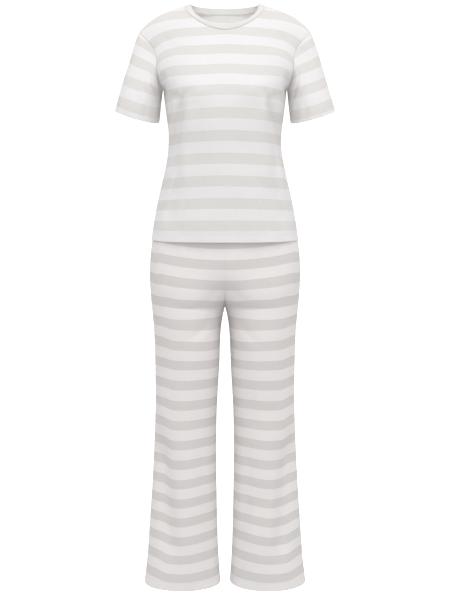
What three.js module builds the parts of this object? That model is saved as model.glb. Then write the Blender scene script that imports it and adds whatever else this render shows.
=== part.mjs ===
// A two-piece pyjama set in striped cotton jersey, hollow and hanging as it does when it is worn:
// a short-sleeved crew-neck top, and under its hem a pair of straight trousers that flare a little.
// Millimetres. +Z is up, the front faces -Y, and +X is on the viewer's right facing the front.
// The origin lies on the middle plane, level with the shoulder seams where they meet the neckband.

import * as THREE from 'three';

// Cloth
const JERSEY = 1.6; // wall of one layer of jersey
const HEM_WALL = 2.4; // wall where a hem is turned up
const BAND_WALL = 2.2; // folded rib of the neckband
const WAIST_WALL = 3.2; // elastic inside its casing
const TOP_HEM = 24; // depth of the turned-up hem of the top
const SLEEVE_HEM = 20;
const LEG_HEM = 24;
const HEM_STEP = 5; // length over which one layer swells into two
const SEAM_GAP = 0.3; // space between two pieces along a seam
const SEAM_FADE = 0.16; // share of a half panel's width over which folds fade out towards a seam

// Neck
const NECK_HALF = 101; // half the neckline's width at the shoulder seams
const NECK_MID_Y = 15; // depth at which the shoulder seams run
const FRONT_NECK_Z = -57.4; // lowest point of the front neckline
const FRONT_NECK_POWER = 1.65; // below 2, so the neckline is a little pointed
const BACK_NECK_Z = -15;
const BACK_NECK_POWER = 2.2;
const BAND_TOP = { half: 85.5, sideZ: 9.3, frontY: -46, frontZ: -41.5, backY: 67, backZ: 1.5 };
const BAND_BULGE = 1.2;
const DEEPEST_NECK = 150; // more than the neckline dips below the shoulder seam, along the cloth

// Sleeve hem, a tilted ring, and the directions in which the sleeve leaves the armhole
const CUFF = { x: 225.3, y: 2, z: -275.2, across: [55, 0, 15.5], forward: [0, -54, -6] };
const CUFF_PULL = { top: 150, under: 60, direction: [0.27, 0, -0.963] };
const LEAVE = { top: [36, 0, -76], front: [46, -26, -60], under: [13, 0, 8], back: [46, 26, -60] };

// Waistband
const WAIST_HEIGHT = 34;
const WAIST_TAPER = 0.985;

// Mesh density
const NECK_EASE = 200; // height over which the rows of the top begin to close up under the neck
const SHOULDER_COLUMNS = 8;
const NECK_COLUMNS = 7;
const BODY_ROWS = 11; // from the top's hem to the underarm
const ARMHOLE_ROWS = 10; // from the underarm to the shoulder
const SLEEVE_ROWS = 9;
const LEG_COLUMNS = 14;
const LEG_ROWS = 16; // from the leg's hem to the crotch
const RISE_ROWS = 9; // from the crotch to the waistband

const JERSEY_COLOUR = 0xe4e1e0;
const RIB_COLOUR = 0xebeae9;

function table(columns, rows) {
  return rows.map((row) => Object.fromEntries(columns.map((name, i) => [name, row[i]])));
}

// Each row is one section of half a panel, from its outer edge to its inner edge. x, y, z is the
// outer edge. From there the cloth leaves at "turn" degrees off the X axis, for "reach" mm, and
// climbs by "rise". ix, iy, iz is the inner edge, which it meets along the handle hx, hy.
const SECTION = ['x', 'y', 'z', 'turn', 'rise', 'reach', 'ix', 'iy', 'iz', 'hx', 'hy'];

const TOP_FRONT = table(SECTION, [
  [190.0, 4, -590, 90, 0, 76, 0, -119, -588, 120, 0],
  [181.8, 4, -540, 90, 0, 76, 0, -121, -536, 116, 0],
  [170.2, 4, -480, 90, 0, 77, 0, -124, -474, 110, 0],
  [153.8, 4, -410, 90, 0, 79, 0, -128, -403, 100, 0],
  [143.8, 4, -340, 90, 0, 81, 0, -132, -333, 94, 0],
  [149.4, 4, -275, 90, 0, 84, 0, -136, -268, 99, 0],
  [157.5, 5, -208, 88, 2, 80, 0, -129, -203, 106, 0],
  [169.7, -27, -178, 71, 8, 46, 0, -111, -158, 108, 0],
  [173.2, -31, -140, 50, 14, 45, 0, -86, -112, 92, 0],
  [183.0, -13, -101, 30, 24, 45, 0, -53, -60, 90, 0],
  [218.9, 15, -62.5, 0, 66, 47, 0, 15, 17, 58, 0],
]);

const TOP_BACK = table(SECTION, [
  [190.0, 4, -590, 90, 0, 78, 0, 124, -593, 118, 0],
  [181.8, 4, -540, 90, 0, 74, 0, 119, -537, 113, 0],
  [170.2, 4, -480, 90, 0, 66, 0, 108, -475, 106, 0],
  [153.8, 4, -410, 90, 0, 58, 0, 95, -403, 96, 0],
  [143.8, 4, -340, 90, 0, 55, 0, 89, -333, 92, 0],
  [149.4, 4, -275, 90, 0, 58, 0, 95, -268, 98, 0],
  [157.5, 5, -208, 88, 2, 64, 0, 104, -203, 104, 0],
  [171.0, 47, -178, 66, 8, 42, 0, 108, -156, 104, 0],
  [177.0, 57, -140, 46, 14, 42, 0, 105, -108, 92, 0],
  [189.0, 47, -101, 26, 24, 45, 0, 92, -57, 88, 0],
  [218.9, 15, -62.5, 0, 66, 47, 0, 15, 17, 58, 0],
]);

const LEG_FRONT = table(SECTION, [
  [214.0, -2, -1500, 90, 0, 82, 12.5, -2, -1500, 0, -82],
  [207.7, -1, -1449, 90, 0, 84, 16.5, -1, -1449, 0, -86],
  [199.5, 0, -1345, 90, 0, 88, 20.6, 0, -1345, 0, -92],
  [191.4, 2, -1230, 90, 0, 94, 22.8, 2, -1230, 0, -100],
  [185.5, 4, -1115, 90, 0, 104, 23.4, 4, -1115, 0, -110],
  [182.0, 6, -1010, 90, 0, 116, 20.6, 6, -1010, 0, -120],
  [182.3, 7, -915, 90, 0, 128, 15.4, 7, -915, 0, -130],
  [184.9, 8, -828, 90, 0, 136, 11.8, 10, -832, 0, -140],
  [188.6, 7, -784, 90, 0, 136, 6.2, 14, -790, 6, -144],
  [191.5, 6, -752, 90, 0, 132, 0.0, 15, -766, 14, -146],
  [194.0, 5, -718, 90, 0, 124, 0.0, -50, -745, 48, -78],
  [195.2, 4, -684, 90, 0, 112, 0.0, -88, -708, 82, -32],
  [193.4, 3, -645, 90, 0, 96, 0.0, -105, -666, 106, -6],
  [189.3, 3, -604, 90, 0, 82, 0.0, -109, -624, 112, 0],
  [179.6, 3, -560, 90, 0, 74, 0.0, -105, -577, 106, 0],
  [152.0, 3, -514, 90, 0, 66, 0.0, -98, -522, 90, 0],
]);

const LEG_BACK = table(SECTION, [
  [214.0, -2, -1500, 90, 0, 72, 12.5, -2, -1500, 0, 72],
  [207.7, -1, -1449, 90, 0, 72, 16.5, -1, -1449, 0, 73],
  [199.5, 0, -1345, 90, 0, 74, 20.6, 0, -1345, 0, 76],
  [191.4, 2, -1230, 90, 0, 77, 22.8, 2, -1230, 0, 80],
  [185.5, 4, -1115, 90, 0, 80, 23.4, 4, -1115, 0, 84],
  [182.0, 6, -1010, 90, 0, 88, 20.6, 6, -1010, 0, 92],
  [182.3, 7, -915, 90, 0, 104, 15.4, 7, -915, 0, 108],
  [184.9, 8, -828, 90, 0, 120, 11.8, 10, -832, 0, 122],
  [188.6, 7, -784, 90, 0, 128, 6.2, 14, -790, 6, 130],
  [191.5, 6, -752, 90, 0, 132, 0.0, 15, -766, 14, 134],
  [194.0, 5, -718, 90, 0, 128, 0.0, 76, -746, 46, 78],
  [195.2, 4, -684, 90, 0, 114, 0.0, 106, -706, 80, 34],
  [193.4, 3, -645, 90, 0, 98, 0.0, 118, -660, 106, 6],
  [189.3, 3, -604, 90, 0, 82, 0.0, 118, -614, 110, 0],
  [179.6, 3, -560, 90, 0, 70, 0.0, 111, -562, 101, 0],
  [152.0, 3, -514, 90, 0, 62, 0.0, 98, -508, 86, 0],
]);

// The front of each trouser hem hangs lower than its seams.
const LEG_SAG = { depth: 12, fromHem: 420 };

// Each row is a soft fold, seen from the front or back as a line from x, z to x2, z2 on the half
// where x is positive. depth is below 0 for a trough and above 0 for a ridge; width is its half
// width, and it fades out over "fade" at each end.
const FOLD = ['x', 'z', 'x2', 'z2', 'depth', 'width', 'fade'];

const TOP_FRONT_FOLDS = table(FOLD, [
  [116, -226, 132, -400, -8, 15, 60],
  [88, -250, 108, -420, 4, 17, 60],
  [124, -450, 150, -540, -4, 16, 50],
  [76, -190, 76, -236, 7, 46, 50],
]);

const TOP_BACK_FOLDS = table(FOLD, [
  [84, -250, 104, -470, -5, 17, 70],
  [30, -330, 22, -480, 3, 16, 60],
  [70, -140, 74, -196, 4, 44, 40],
]);

const LEG_FRONT_FOLDS = table(FOLD, [
  [168, -1110, 148, -1400, -11, 22, 120],
  [104, -1080, 106, -1400, 3, 26, 120],
]);

const LEG_BACK_FOLDS = table(FOLD, [
  [134, -1060, 130, -1400, -9, 24, 120],
  [66, -1120, 62, -1420, -6, 20, 120],
  [86, -760, 96, -960, -5, 24, 80],
]);

// Small vector arithmetic on [x, y, z]
const add = (a, b) => a.map((v, i) => v + b[i]);
const sub = (a, b) => a.map((v, i) => v - b[i]);
const scale = (a, k) => a.map((v) => v * k);
const length = (a) => Math.hypot(...a);
const unit = (a) => scale(a, 1 / (length(a) || 1));
const cross = (a, b) => [
  a[1] * b[2] - a[2] * b[1],
  a[2] * b[0] - a[0] * b[2],
  a[0] * b[1] - a[1] * b[0],
];
const dot = (a, b) => a[0] * b[0] + a[1] * b[1] + a[2] * b[2];
const degrees = (a) => (a * Math.PI) / 180;
const smooth = (k) => {
  const c = Math.min(1, Math.max(0, k));
  return c * c * (3 - 2 * c);
};

// Cubic spline through (knots, values), free at its start and with a given slope at its end.
function spline(knots, values, endSlope) {
  const n = knots.length;
  const second = new Array(n).fill(0);
  const work = new Array(n).fill(0);
  for (let i = 1; i < n - 1; i++) {
    const share = (knots[i] - knots[i - 1]) / (knots[i + 1] - knots[i - 1]);
    const pivot = share * second[i - 1] + 2;
    const rise = (values[i + 1] - values[i]) / (knots[i + 1] - knots[i]);
    const before = (values[i] - values[i - 1]) / (knots[i] - knots[i - 1]);
    second[i] = (share - 1) / pivot;
    work[i] = ((6 * (rise - before)) / (knots[i + 1] - knots[i - 1]) - share * work[i - 1]) / pivot;
  }
  if (endSlope !== undefined) {
    const h = knots[n - 1] - knots[n - 2];
    const last = (3 / h) * (endSlope - (values[n - 1] - values[n - 2]) / h);
    second[n - 1] = (last - 0.5 * work[n - 2]) / (0.5 * second[n - 2] + 1);
  }
  for (let i = n - 2; i >= 0; i--) second[i] = second[i] * second[i + 1] + work[i];
  return (w) => {
    let k = 0;
    while (k < n - 2 && w > knots[k + 1]) k++;
    const h = knots[k + 1] - knots[k];
    const a = (knots[k + 1] - w) / h;
    const b = (w - knots[k]) / h;
    const bend = ((a ** 3 - a) * second[k] + (b ** 3 - b) * second[k + 1]) * ((h * h) / 6);
    return a * values[k] + b * values[k + 1] + bend;
  };
}

// The same, in two stretches that meet at a corner.
function splineWithCorner(knots, values, corner, endSlope) {
  if (!corner) return spline(knots, values, endSlope);
  const below = spline(knots.slice(0, corner + 1), values.slice(0, corner + 1));
  const above = spline(knots.slice(corner), values.slice(corner), endSlope);
  return (w) => (w < knots[corner] ? below(w) : above(w));
}

// The four control points of one section; facing is -1 on the front and 1 on the back.
function controls(row, facing) {
  const turn = degrees(row.turn);
  const out = [-Math.cos(turn) * row.reach, facing * Math.sin(turn) * row.reach, row.rise];
  const edge = [row.x, row.y, row.z];
  const inner = [row.ix, row.iy, row.iz];
  return [edge, add(edge, out), add(inner, [row.hx, row.hy, 0]), inner];
}

// A half panel's surface. s runs from its outer edge, 0, to its inner edge, 1, and w from the hem up.
// Each edge may have a corner at one row: the underarm, or the crotch.
function halfPanel(rows, facing, folds, { underarm = 0, crotch = 0, topSlope = [], sag }) {
  const sections = rows.map((row) => controls(row, facing));
  const knots = [0];
  for (let i = 1; i < sections.length; i++)
    knots.push(knots[i - 1] + length(sub(sections[i][0], sections[i - 1][0])));
  const corners = [underarm, 0, 0, crotch];
  const lines = [0, 1, 2, 3].map((c) =>
    [0, 1, 2].map((axis) => {
      const values = sections.map((section) => section[c][axis]);
      return splineWithCorner(knots, values, corners[c], topSlope[axis]);
    }),
  );
  const plain = (s, w) => {
    const r = 1 - s;
    const weights = [r * r * r, 3 * r * r * s, 3 * r * s * s, s * s * s];
    const point = [0, 0, 0];
    weights.forEach((weight, c) => {
      for (let axis = 0; axis < 3; axis++) point[axis] += weight * lines[c][axis](w);
    });
    if (sag) point[2] -= sag.depth * Math.sin(Math.PI * s) * (1 - smooth(w / sag.fromHem));
    return point;
  };
  const plainNormal = normalOf(plain, facing);
  const innerFade = crotch ? SEAM_FADE : 1e-6;
  const at = (s, w) => {
    const point = plain(s, w);
    const lift = foldLift(folds, point) * smooth(s / SEAM_FADE) * smooth((1 - s) / innerFade);
    return Math.abs(lift) < 0.01 ? point : add(point, scale(plainNormal(s, w), lift));
  };
  return { at, normal: normalOf(at, facing), knots, top: knots.at(-1), facing };
}

// The outward normal of a surface at (s, w), from small steps along it.
function normalOf(at, facing) {
  const STEP_S = 0.002;
  const STEP_W = 0.5;
  return (s, w) => {
    const along = sub(at(Math.min(1, s + STEP_S), w), at(Math.max(0, s - STEP_S), w));
    const up = sub(at(s, w + STEP_W), at(s, w - STEP_W));
    return scale(unit(cross(along, up)), facing);
  };
}

function foldLift(folds, point) {
  let lift = 0;
  for (const fold of folds) {
    const dx = fold.x2 - fold.x;
    const dz = fold.z2 - fold.z;
    const span = Math.hypot(dx, dz);
    const along = ((point[0] - fold.x) * dx + (point[2] - fold.z) * dz) / span;
    const away = ((point[0] - fold.x) * dz - (point[2] - fold.z) * dx) / span;
    const near = smooth(along / fold.fade + 0.5) * smooth((span - along) / fold.fade + 0.5);
    lift += fold.depth * near * Math.exp(-((away / fold.width) ** 2));
  }
  return lift;
}

function bisect(low, high, isBelow) {
  let [a, b] = [low, high];
  for (let i = 0; i < 40; i++) {
    const middle = (a + b) / 2;
    if (isBelow(middle)) a = middle;
    else b = middle;
  }
  return (a + b) / 2;
}

const mirrored = (point) => [-point[0], point[1], point[2]];
const UNDERARM_ROW = 6;
const CROTCH_ROW = 9;
const FRONT_SHAPE = { underarm: UNDERARM_ROW, topSlope: [0, 0.9, 0] };
const BACK_SHAPE = { underarm: UNDERARM_ROW, topSlope: [0, -0.9, 0] };

const topFront = halfPanel(TOP_FRONT, -1, TOP_FRONT_FOLDS, FRONT_SHAPE);
const topBack = halfPanel(TOP_BACK, 1, TOP_BACK_FOLDS, BACK_SHAPE);
const legFront = halfPanel(LEG_FRONT, -1, LEG_FRONT_FOLDS, { crotch: CROTCH_ROW, sag: LEG_SAG });
const legBack = halfPanel(LEG_BACK, 1, LEG_BACK_FOLDS, { crotch: CROTCH_ROW });

// Neckline: the height of the seam at a distance x from the middle.
function neckSeam(panel) {
  const shoulderS = bisect(0, 1, (s) => panel.at(s, panel.top)[0] > NECK_HALF);
  const sideZ = panel.at(shoulderS, panel.top)[2];
  const [lowest, power] =
    panel.facing < 0 ? [FRONT_NECK_Z, FRONT_NECK_POWER] : [BACK_NECK_Z, BACK_NECK_POWER];
  const height = (x) => {
    const share = Math.min(1, x / NECK_HALF) ** power;
    return sideZ - (sideZ - lowest) * (1 - share) ** (1 / power);
  };
  // The surface's own (s, w) under the neckline point that lies at angle tau round the neck.
  const place = (tau) => {
    const x = NECK_HALF * Math.cos(tau);
    const sAt = (w) => bisect(shoulderS * 0.8, 1, (s) => panel.at(s, w)[0] > x);
    const w = bisect(panel.top - DEEPEST_NECK, panel.top, (v) => panel.at(sAt(v), v)[2] < height(x));
    return [sAt(w), w];
  };
  return { shoulderS, place };
}

const frontNeck = neckSeam(topFront);
const backNeck = neckSeam(topBack);

// The sleeve leaves the armhole in a direction that turns smoothly round it. psi is 0 at the
// shoulder and 180 degrees at the underarm, and above 0 on the front.
function around(four, psi) {
  const mean = scale(add(add(four.top, four.under), add(four.front, four.back)), 0.25);
  const upDown = scale(sub(four.top, four.under), 0.5 * Math.cos(psi));
  const foreAft = scale(sub(four.front, four.back), 0.5 * Math.sin(psi));
  const twice = sub(add(four.top, four.under), add(four.front, four.back));
  return add(add(mean, upDown), add(foreAft, scale(twice, 0.25 * Math.cos(2 * psi))));
}

// One side of the armhole, from the underarm at "start" to the shoulder, with the angle psi there.
function armhole(panel) {
  const start = panel.knots[UNDERARM_ROW];
  const psiAt = (w) => -panel.facing * Math.PI * (1 - (w - start) / (panel.top - start));
  return { panel, start, psiAt };
}

const frontArmhole = armhole(topFront);
const backArmhole = armhole(topBack);

// A point of the seam round the armhole, the direction of the sleeve there, and the direction in
// which both pieces of cloth are thick along the seam, halfway between their normals. Where front,
// back and sleeve meet, that direction has no Y, so that the three share it.
function armholeSeam(hole, w) {
  const { panel } = hole;
  const psi = hole.psiAt(w);
  const leave = around(LEAVE, psi);
  const point = panel.at(0, w);
  const STEP = 1;
  const low = Math.max(hole.start, w - STEP);
  const high = Math.min(panel.top, w + STEP);
  const tangent = sub(panel.at(0, high), panel.at(0, low));
  const sleeveNormal = scale(unit(cross(tangent, leave)), panel.facing);
  const bodyNormal = panel.normal(0, w);
  const between = add(sleeveNormal, bodyNormal);
  const isShared = w === hole.start || w > panel.top - STEP;
  const thick = unit(isShared ? [between[0], 0, between[2]] : between);
  return { psi, point, leave, thick, stretch: 1 / Math.max(0.6, dot(thick, bodyNormal)) };
}

// A closed wall round a grid of places, each { point, normal, wall }. A ring's last column meets
// its first, and a sheet has a rim on all four sides.
function wallGeometry(grid, isRing) {
  const columns = grid.length;
  const rows = grid[0].length;
  const positions = [];
  for (const side of [0.5, -0.5])
    for (const column of grid)
      for (const place of column)
        positions.push(...add(place.point, scale(place.normal, side * place.wall)));
  const outer = (i, j) => (i % columns) * rows + j;
  const inner = (i, j) => columns * rows + outer(i, j);
  const index = [];
  const vertex = (k) => positions.slice(3 * k, 3 * k + 3);
  const span = (a, b) => length(sub(vertex(a), vertex(b)));
  const split = (a, b, c, d) => index.push(a, b, c, a, c, d);
  // A quad is split along its shorter diagonal.
  const quad = (a, b, c, d) => (span(b, d) < span(a, c) ? split(b, c, d, a) : split(a, b, c, d));
  const spans = isRing ? columns : columns - 1;
  for (let i = 0; i < spans; i++) {
    for (let j = 0; j < rows - 1; j++) {
      const corners = [[i, j], [i + 1, j], [i + 1, j + 1], [i, j + 1]];
      const [a, b, c, d] = corners.map((corner) => outer(...corner));
      if (span(b, d) < span(a, c)) corners.push(corners.shift());
      split(...corners.map((corner) => outer(...corner)));
      split(...[0, 3, 2, 1].map((k) => inner(...corners[k])));
    }
    quad(outer(i, 0), inner(i, 0), inner(i + 1, 0), outer(i + 1, 0));
    const top = rows - 1;
    quad(outer(i, top), outer(i + 1, top), inner(i + 1, top), inner(i, top));
  }
  if (!isRing) {
    for (let j = 0; j < rows - 1; j++) {
      const end = columns - 1;
      quad(outer(0, j), outer(0, j + 1), inner(0, j + 1), inner(0, j));
      quad(outer(end, j), inner(end, j), inner(end, j + 1), outer(end, j + 1));
    }
  }
  const geometry = new THREE.BufferGeometry();
  geometry.setAttribute('position', new THREE.Float32BufferAttribute(positions, 3));
  geometry.setIndex(index);
  geometry.computeVertexNormals();
  return geometry;
}

function clothMesh(name, grid, isRing, colour) {
  const cloth = new THREE.MeshStandardMaterial({ color: colour, roughness: 0.9, metalness: 0 });
  const mesh = new THREE.Mesh(wallGeometry(grid, isRing), cloth);
  mesh.name = name;
  return mesh;
}

const hemWall = (fromHem, depth) =>
  HEM_WALL + (JERSEY - HEM_WALL) * smooth((fromHem - depth) / HEM_STEP);

// Rows up a panel, as places w: two close together where the hem ends, "lower" in all up to the
// corner at the underarm or crotch, and "upper" from there to the top.
function rowPlaces(hem, corner, top, lower, upper) {
  const places = [0, hem - 1];
  const first = hem + HEM_STEP;
  const even = lower - 2;
  for (let i = 0; i <= even; i++) places.push(first + ((corner - first) * i) / even);
  for (let i = 1; i <= upper; i++) places.push(corner + ((top - corner) * i) / upper);
  return places;
}

const mirrorPlace = (place) => ({
  point: mirrored(place.point),
  normal: mirrored(place.normal),
  wall: place.wall,
});

// The share s that lies half a seam's gap in from a panel's outer edge.
function seamInset(panel) {
  const STEP = 0.02;
  const w = panel.knots[1];
  return (STEP * SEAM_GAP) / 2 / length(sub(panel.at(STEP, w), panel.at(0, w)));
}

// The front or back of the top, whole, with the neckline and both armholes.
function topPanel(name, panel, neck, hole) {
  const columns = [];
  const edgeS = seamInset(panel);
  for (let i = 0; i < SHOULDER_COLUMNS; i++)
    columns.push([edgeS + ((neck.shoulderS - edgeS) * i) / SHOULDER_COLUMNS, panel.top, null]);
  for (let i = 0; i <= NECK_COLUMNS; i++) {
    const tau = (Math.PI / 2) * (i / NECK_COLUMNS);
    const [s, w] = i === 0 ? [neck.shoulderS, panel.top] : neck.place(tau);
    columns.push([i === NECK_COLUMNS ? 1 : s, w, tau]);
  }
  const sideRows = rowPlaces(TOP_HEM, hole.start, panel.top, BODY_ROWS, ARMHOLE_ROWS);
  const last = sideRows.length - 1;
  const half = columns.map(([topS, end, tau], i) => {
    return sideRows.map((sideW, j) => {
      const shorten = smooth((sideW - TOP_HEM - HEM_STEP) / NECK_EASE) * (1 - end / panel.top);
      const w = Math.min(sideW * (1 - shorten), end - (j === last ? SEAM_GAP / 2 : 0));
      const evenS = Math.max(edgeS, i / (columns.length - 1));
      const s = evenS + (topS - evenS) * smooth(w / end);
      const place = { point: panel.at(s, w), normal: panel.normal(s, w), wall: hemWall(w, TOP_HEM) };
      if (i === 0 && w >= hole.start) {
        const seam = armholeSeam(hole, w);
        place.normal = scale(seam.thick, seam.stretch);
      }
      if (tau !== null && j === last) place.normal = neckRim(panel, s, w, tau);
      return place;
    });
  });
  const other = half.slice(0, -1).reverse();
  const grid = [...half, ...other.map((column) => column.map(mirrorPlace))];
  return clothMesh(name, panel.facing < 0 ? grid.reverse() : grid, false, JERSEY_COLOUR);
}

// The neckband's free edge at angle tau round the neck.
function bandEdge(facing, tau) {
  const turn = Math.sin(tau);
  const [y, z] = facing < 0 ? [BAND_TOP.frontY, BAND_TOP.frontZ] : [BAND_TOP.backY, BAND_TOP.backZ];
  return [
    BAND_TOP.half * Math.cos(tau),
    NECK_MID_Y + (y - NECK_MID_Y) * turn,
    BAND_TOP.sideZ + (z - BAND_TOP.sideZ) * turn,
  ];
}

// The way the neckline's rim is thick: between the normal of the panel and that of the band.
function neckRim(panel, s, w, tau) {
  const seam = panel.at(s, w);
  const rise = sub(bandEdge(panel.facing, tau), seam);
  const panelNormal = panel.normal(s, w);
  const bandNormal = unit(sub(panelNormal, scale(rise, dot(panelNormal, rise) / dot(rise, rise))));
  return unit(add(panelNormal, bandNormal));
}

function neckband() {
  const ROWS = 4;
  const grid = [];
  const half = [];
  for (const [panel, neck] of [[topFront, frontNeck], [topBack, backNeck]]) {
    for (let i = 0; i <= NECK_COLUMNS; i++) {
      if (panel === topBack && i === 0) continue;
      const tau = (Math.PI / 2) * (i / NECK_COLUMNS);
      const [s, w] = i === 0 ? [neck.shoulderS, panel.top] : neck.place(tau);
      half.push({ panel, s: i === NECK_COLUMNS ? 1 : s, w, tau });
    }
  }
  const columnAt = ({ panel, s, w, tau }) => {
    const seam = panel.at(s, w);
    const edge = bandEdge(panel.facing, tau);
    const rise = sub(edge, seam);
    const rim = neckRim(panel, s, w, tau);
    const face = unit(sub(rim, scale(rise, dot(rim, rise) / dot(rise, rise))));
    const column = [];
    for (let j = 0; j <= ROWS; j++) {
      const share = j / ROWS;
      const start = (SEAM_GAP / 2) / length(rise);
      const along = add(seam, scale(rise, start + (1 - start) * share));
      const bulge = BAND_BULGE * Math.sin(Math.PI * share);
      const normal = j === 0 ? rim : face;
      const wall = BAND_WALL * (j === ROWS ? 0.7 : 1);
      column.push({ point: add(along, scale(face, bulge)), normal, wall });
    }
    return column;
  };
  const front = half.slice(0, NECK_COLUMNS + 1).map(columnAt);
  const back = half.slice(NECK_COLUMNS + 1).map(columnAt);
  grid.push(...back.slice(0, -1).reverse(), ...front);
  grid.push(...front.slice(0, -1).reverse().map((column) => column.map(mirrorPlace)));
  grid.push(...back.map((column) => column.map(mirrorPlace)));
  return clothMesh('neckband', grid.reverse(), true, RIB_COLOUR);
}

// A sleeve: a tube that leaves the armhole, turns over the shoulder and ends in a round hem.
function sleeve(name, side) {
  const grid = [];
  const count = 2 * ARMHOLE_ROWS;
  const seamAt = (i) => {
    const share = Math.abs(1 - i / ARMHOLE_ROWS);
    const hole = i <= ARMHOLE_ROWS ? frontArmhole : backArmhole;
    return armholeSeam(hole, hole.start + (hole.panel.top - hole.start) * share);
  };
  for (let i = 0; i < count; i++) {
    const seam = seamAt(i);
    const ring = cuffPoint(seam.psi);
    const pull = CUFF_PULL.under + (CUFF_PULL.top - CUFF_PULL.under) * 0.5 * (1 + Math.cos(seam.psi));
    const end = scale(CUFF_PULL.direction, pull);
    const start = SEAM_GAP / length(seam.leave);
    const line = (t) => hermite(seam.point, seam.leave, ring, end, t);
    const reach = length(sub(line(1), line(0.5))) * 2;
    const hemShare = 1 - (SLEEVE_HEM + HEM_STEP) / reach;
    const column = [];
    for (let j = 0; j <= SLEEVE_ROWS; j++) {
      const spread = SLEEVE_ROWS - 2;
      const t = j <= spread ? start + (hemShare - start) * (j / spread)
        : j === spread + 1 ? 1 - (SLEEVE_HEM - 1) / reach : 1;
      column.push(line(t));
    }
    grid.push({ seam, column });
  }
  const columns = grid.map(({ seam, column }, i) => {
    const before = grid[(i + count - 1) % count].column;
    const after = grid[(i + 1) % count].column;
    return column.map((point, j) => {
      const round = sub(after[j], before[j]);
      const down = sub(column[Math.min(SLEEVE_ROWS, j + 1)], column[Math.max(0, j - 1)]);
      const normal = j === 0 ? scale(seam.thick, seam.stretch) : unit(cross(round, down));
      const wall = j >= SLEEVE_ROWS - 1 ? HEM_WALL : JERSEY;
      return { point, normal, wall };
    });
  });
  const made = side > 0 ? columns : columns.reverse().map((column) => column.map(mirrorPlace));
  return clothMesh(name, made, true, JERSEY_COLOUR);
}

function cuffPoint(psi) {
  const centre = [CUFF.x, CUFF.y, CUFF.z];
  return add(centre, add(scale(CUFF.across, Math.cos(psi)), scale(CUFF.forward, Math.sin(psi))));
}

function hermite(from, fromPull, to, toPull, t) {
  const t2 = t * t;
  const t3 = t2 * t;
  const ends = add(scale(from, 2 * t3 - 3 * t2 + 1), scale(to, 3 * t2 - 2 * t3));
  return add(ends, add(scale(fromPull, t3 - 2 * t2 + t), scale(toPull, t3 - t2)));
}

// One of the four trouser panels. side is 1 for the viewer's right leg and -1 for the left.
function trouserPanel(name, panel, side) {
  const grid = [];
  const rows = rowPlaces(LEG_HEM, panel.knots[CROTCH_ROW], panel.top, LEG_ROWS, RISE_ROWS);
  const inset = seamInset(panel);
  for (let i = 0; i <= LEG_COLUMNS; i++) {
    const s = Math.min(1 - inset, Math.max(inset, i / LEG_COLUMNS));
    const column = rows.map((w) => {
      const place = { point: panel.at(s, w), normal: panel.normal(s, w), wall: hemWall(w, LEG_HEM) };
      if (i === LEG_COLUMNS) rimAtMiddle(place, panel, w);
      return place;
    });
    grid.push(column);
  }
  const ordered = panel.facing * side > 0 ? grid : grid.reverse();
  const made = side > 0 ? ordered : ordered.map((column) => column.map(mirrorPlace));
  return clothMesh(name, made, false, JERSEY_COLOUR);
}

// Along the crotch seam the rim lies in the middle plane, square to the seam's own curve, and just
// clear of the other leg's panel.
function rimAtMiddle(place, panel, w) {
  const crotch = panel.knots[CROTCH_ROW];
  if (w < crotch) return;
  const STEP = 2;
  const up = sub(panel.at(1, w + STEP), panel.at(1, Math.max(crotch, w - STEP)));
  place.normal = unit([0, panel.facing * up[2], -panel.facing * up[1]]);
  place.point[0] = SEAM_GAP / 2;
  if (w === crotch) {
    place.normal = [0, 0, -1];
    place.point[1] += (panel.facing * SEAM_GAP) / 2;
  }
}

// The waistband, an elastic in its casing: a plain ring on the trousers' top edge.
function waistband() {
  const ROWS = 3;
  const STEPS = 10;
  const columnAt = (panel, s) => {
    const base = panel.at(s, panel.top);
    const [nx, ny] = panel.normal(s, panel.top);
    const normal = unit([nx, ny, 0]);
    const column = [];
    for (let j = 0; j <= ROWS; j++) {
      const share = j / ROWS;
      const taper = 1 + (WAIST_TAPER - 1) * share;
      const z = base[2] + SEAM_GAP * 2 + (WAIST_HEIGHT - SEAM_GAP) * share;
      column.push({ point: [base[0] * taper, base[1] * taper, z], normal, wall: WAIST_WALL });
    }
    return column;
  };
  const shares = Array.from({ length: STEPS + 1 }, (_, i) => i / STEPS);
  const front = shares.map((s) => columnAt(legFront, s));
  const back = shares.map((s) => columnAt(legBack, s));
  const flip = (columns) => columns.map((column) => column.map(mirrorPlace));
  const grid = [
    ...front.slice(0, -1),
    ...flip(front.slice(1).reverse()),
    ...flip(back.slice(0, -1)),
    ...back.slice(1).reverse(),
  ];
  return clothMesh('waistband', grid.reverse(), true, JERSEY_COLOUR);
}

const top = new THREE.Group();
top.add(topPanel('top_front', topFront, frontNeck, frontArmhole));
top.add(topPanel('top_back', topBack, backNeck, backArmhole));
top.add(sleeve('sleeve_right', 1));
top.add(sleeve('sleeve_left', -1));
top.add(neckband());

const trousers = new THREE.Group();
trousers.add(trouserPanel('trouser_front_right', legFront, 1));
trousers.add(trouserPanel('trouser_front_left', legFront, -1));
trousers.add(trouserPanel('trouser_back_right', legBack, 1));
trousers.add(trouserPanel('trouser_back_left', legBack, -1));
trousers.add(waistband());

const pyjamas = new THREE.Group();
pyjamas.add(top, trousers);

export default pyjamas;
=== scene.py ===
# A pyjama set in striped cotton jersey: a short-sleeved top over long trousers. Every piece is a
# thin shell of cloth laid on the piece's own cut, with its seams, turned hems, stitches and folds.

import math

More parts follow.
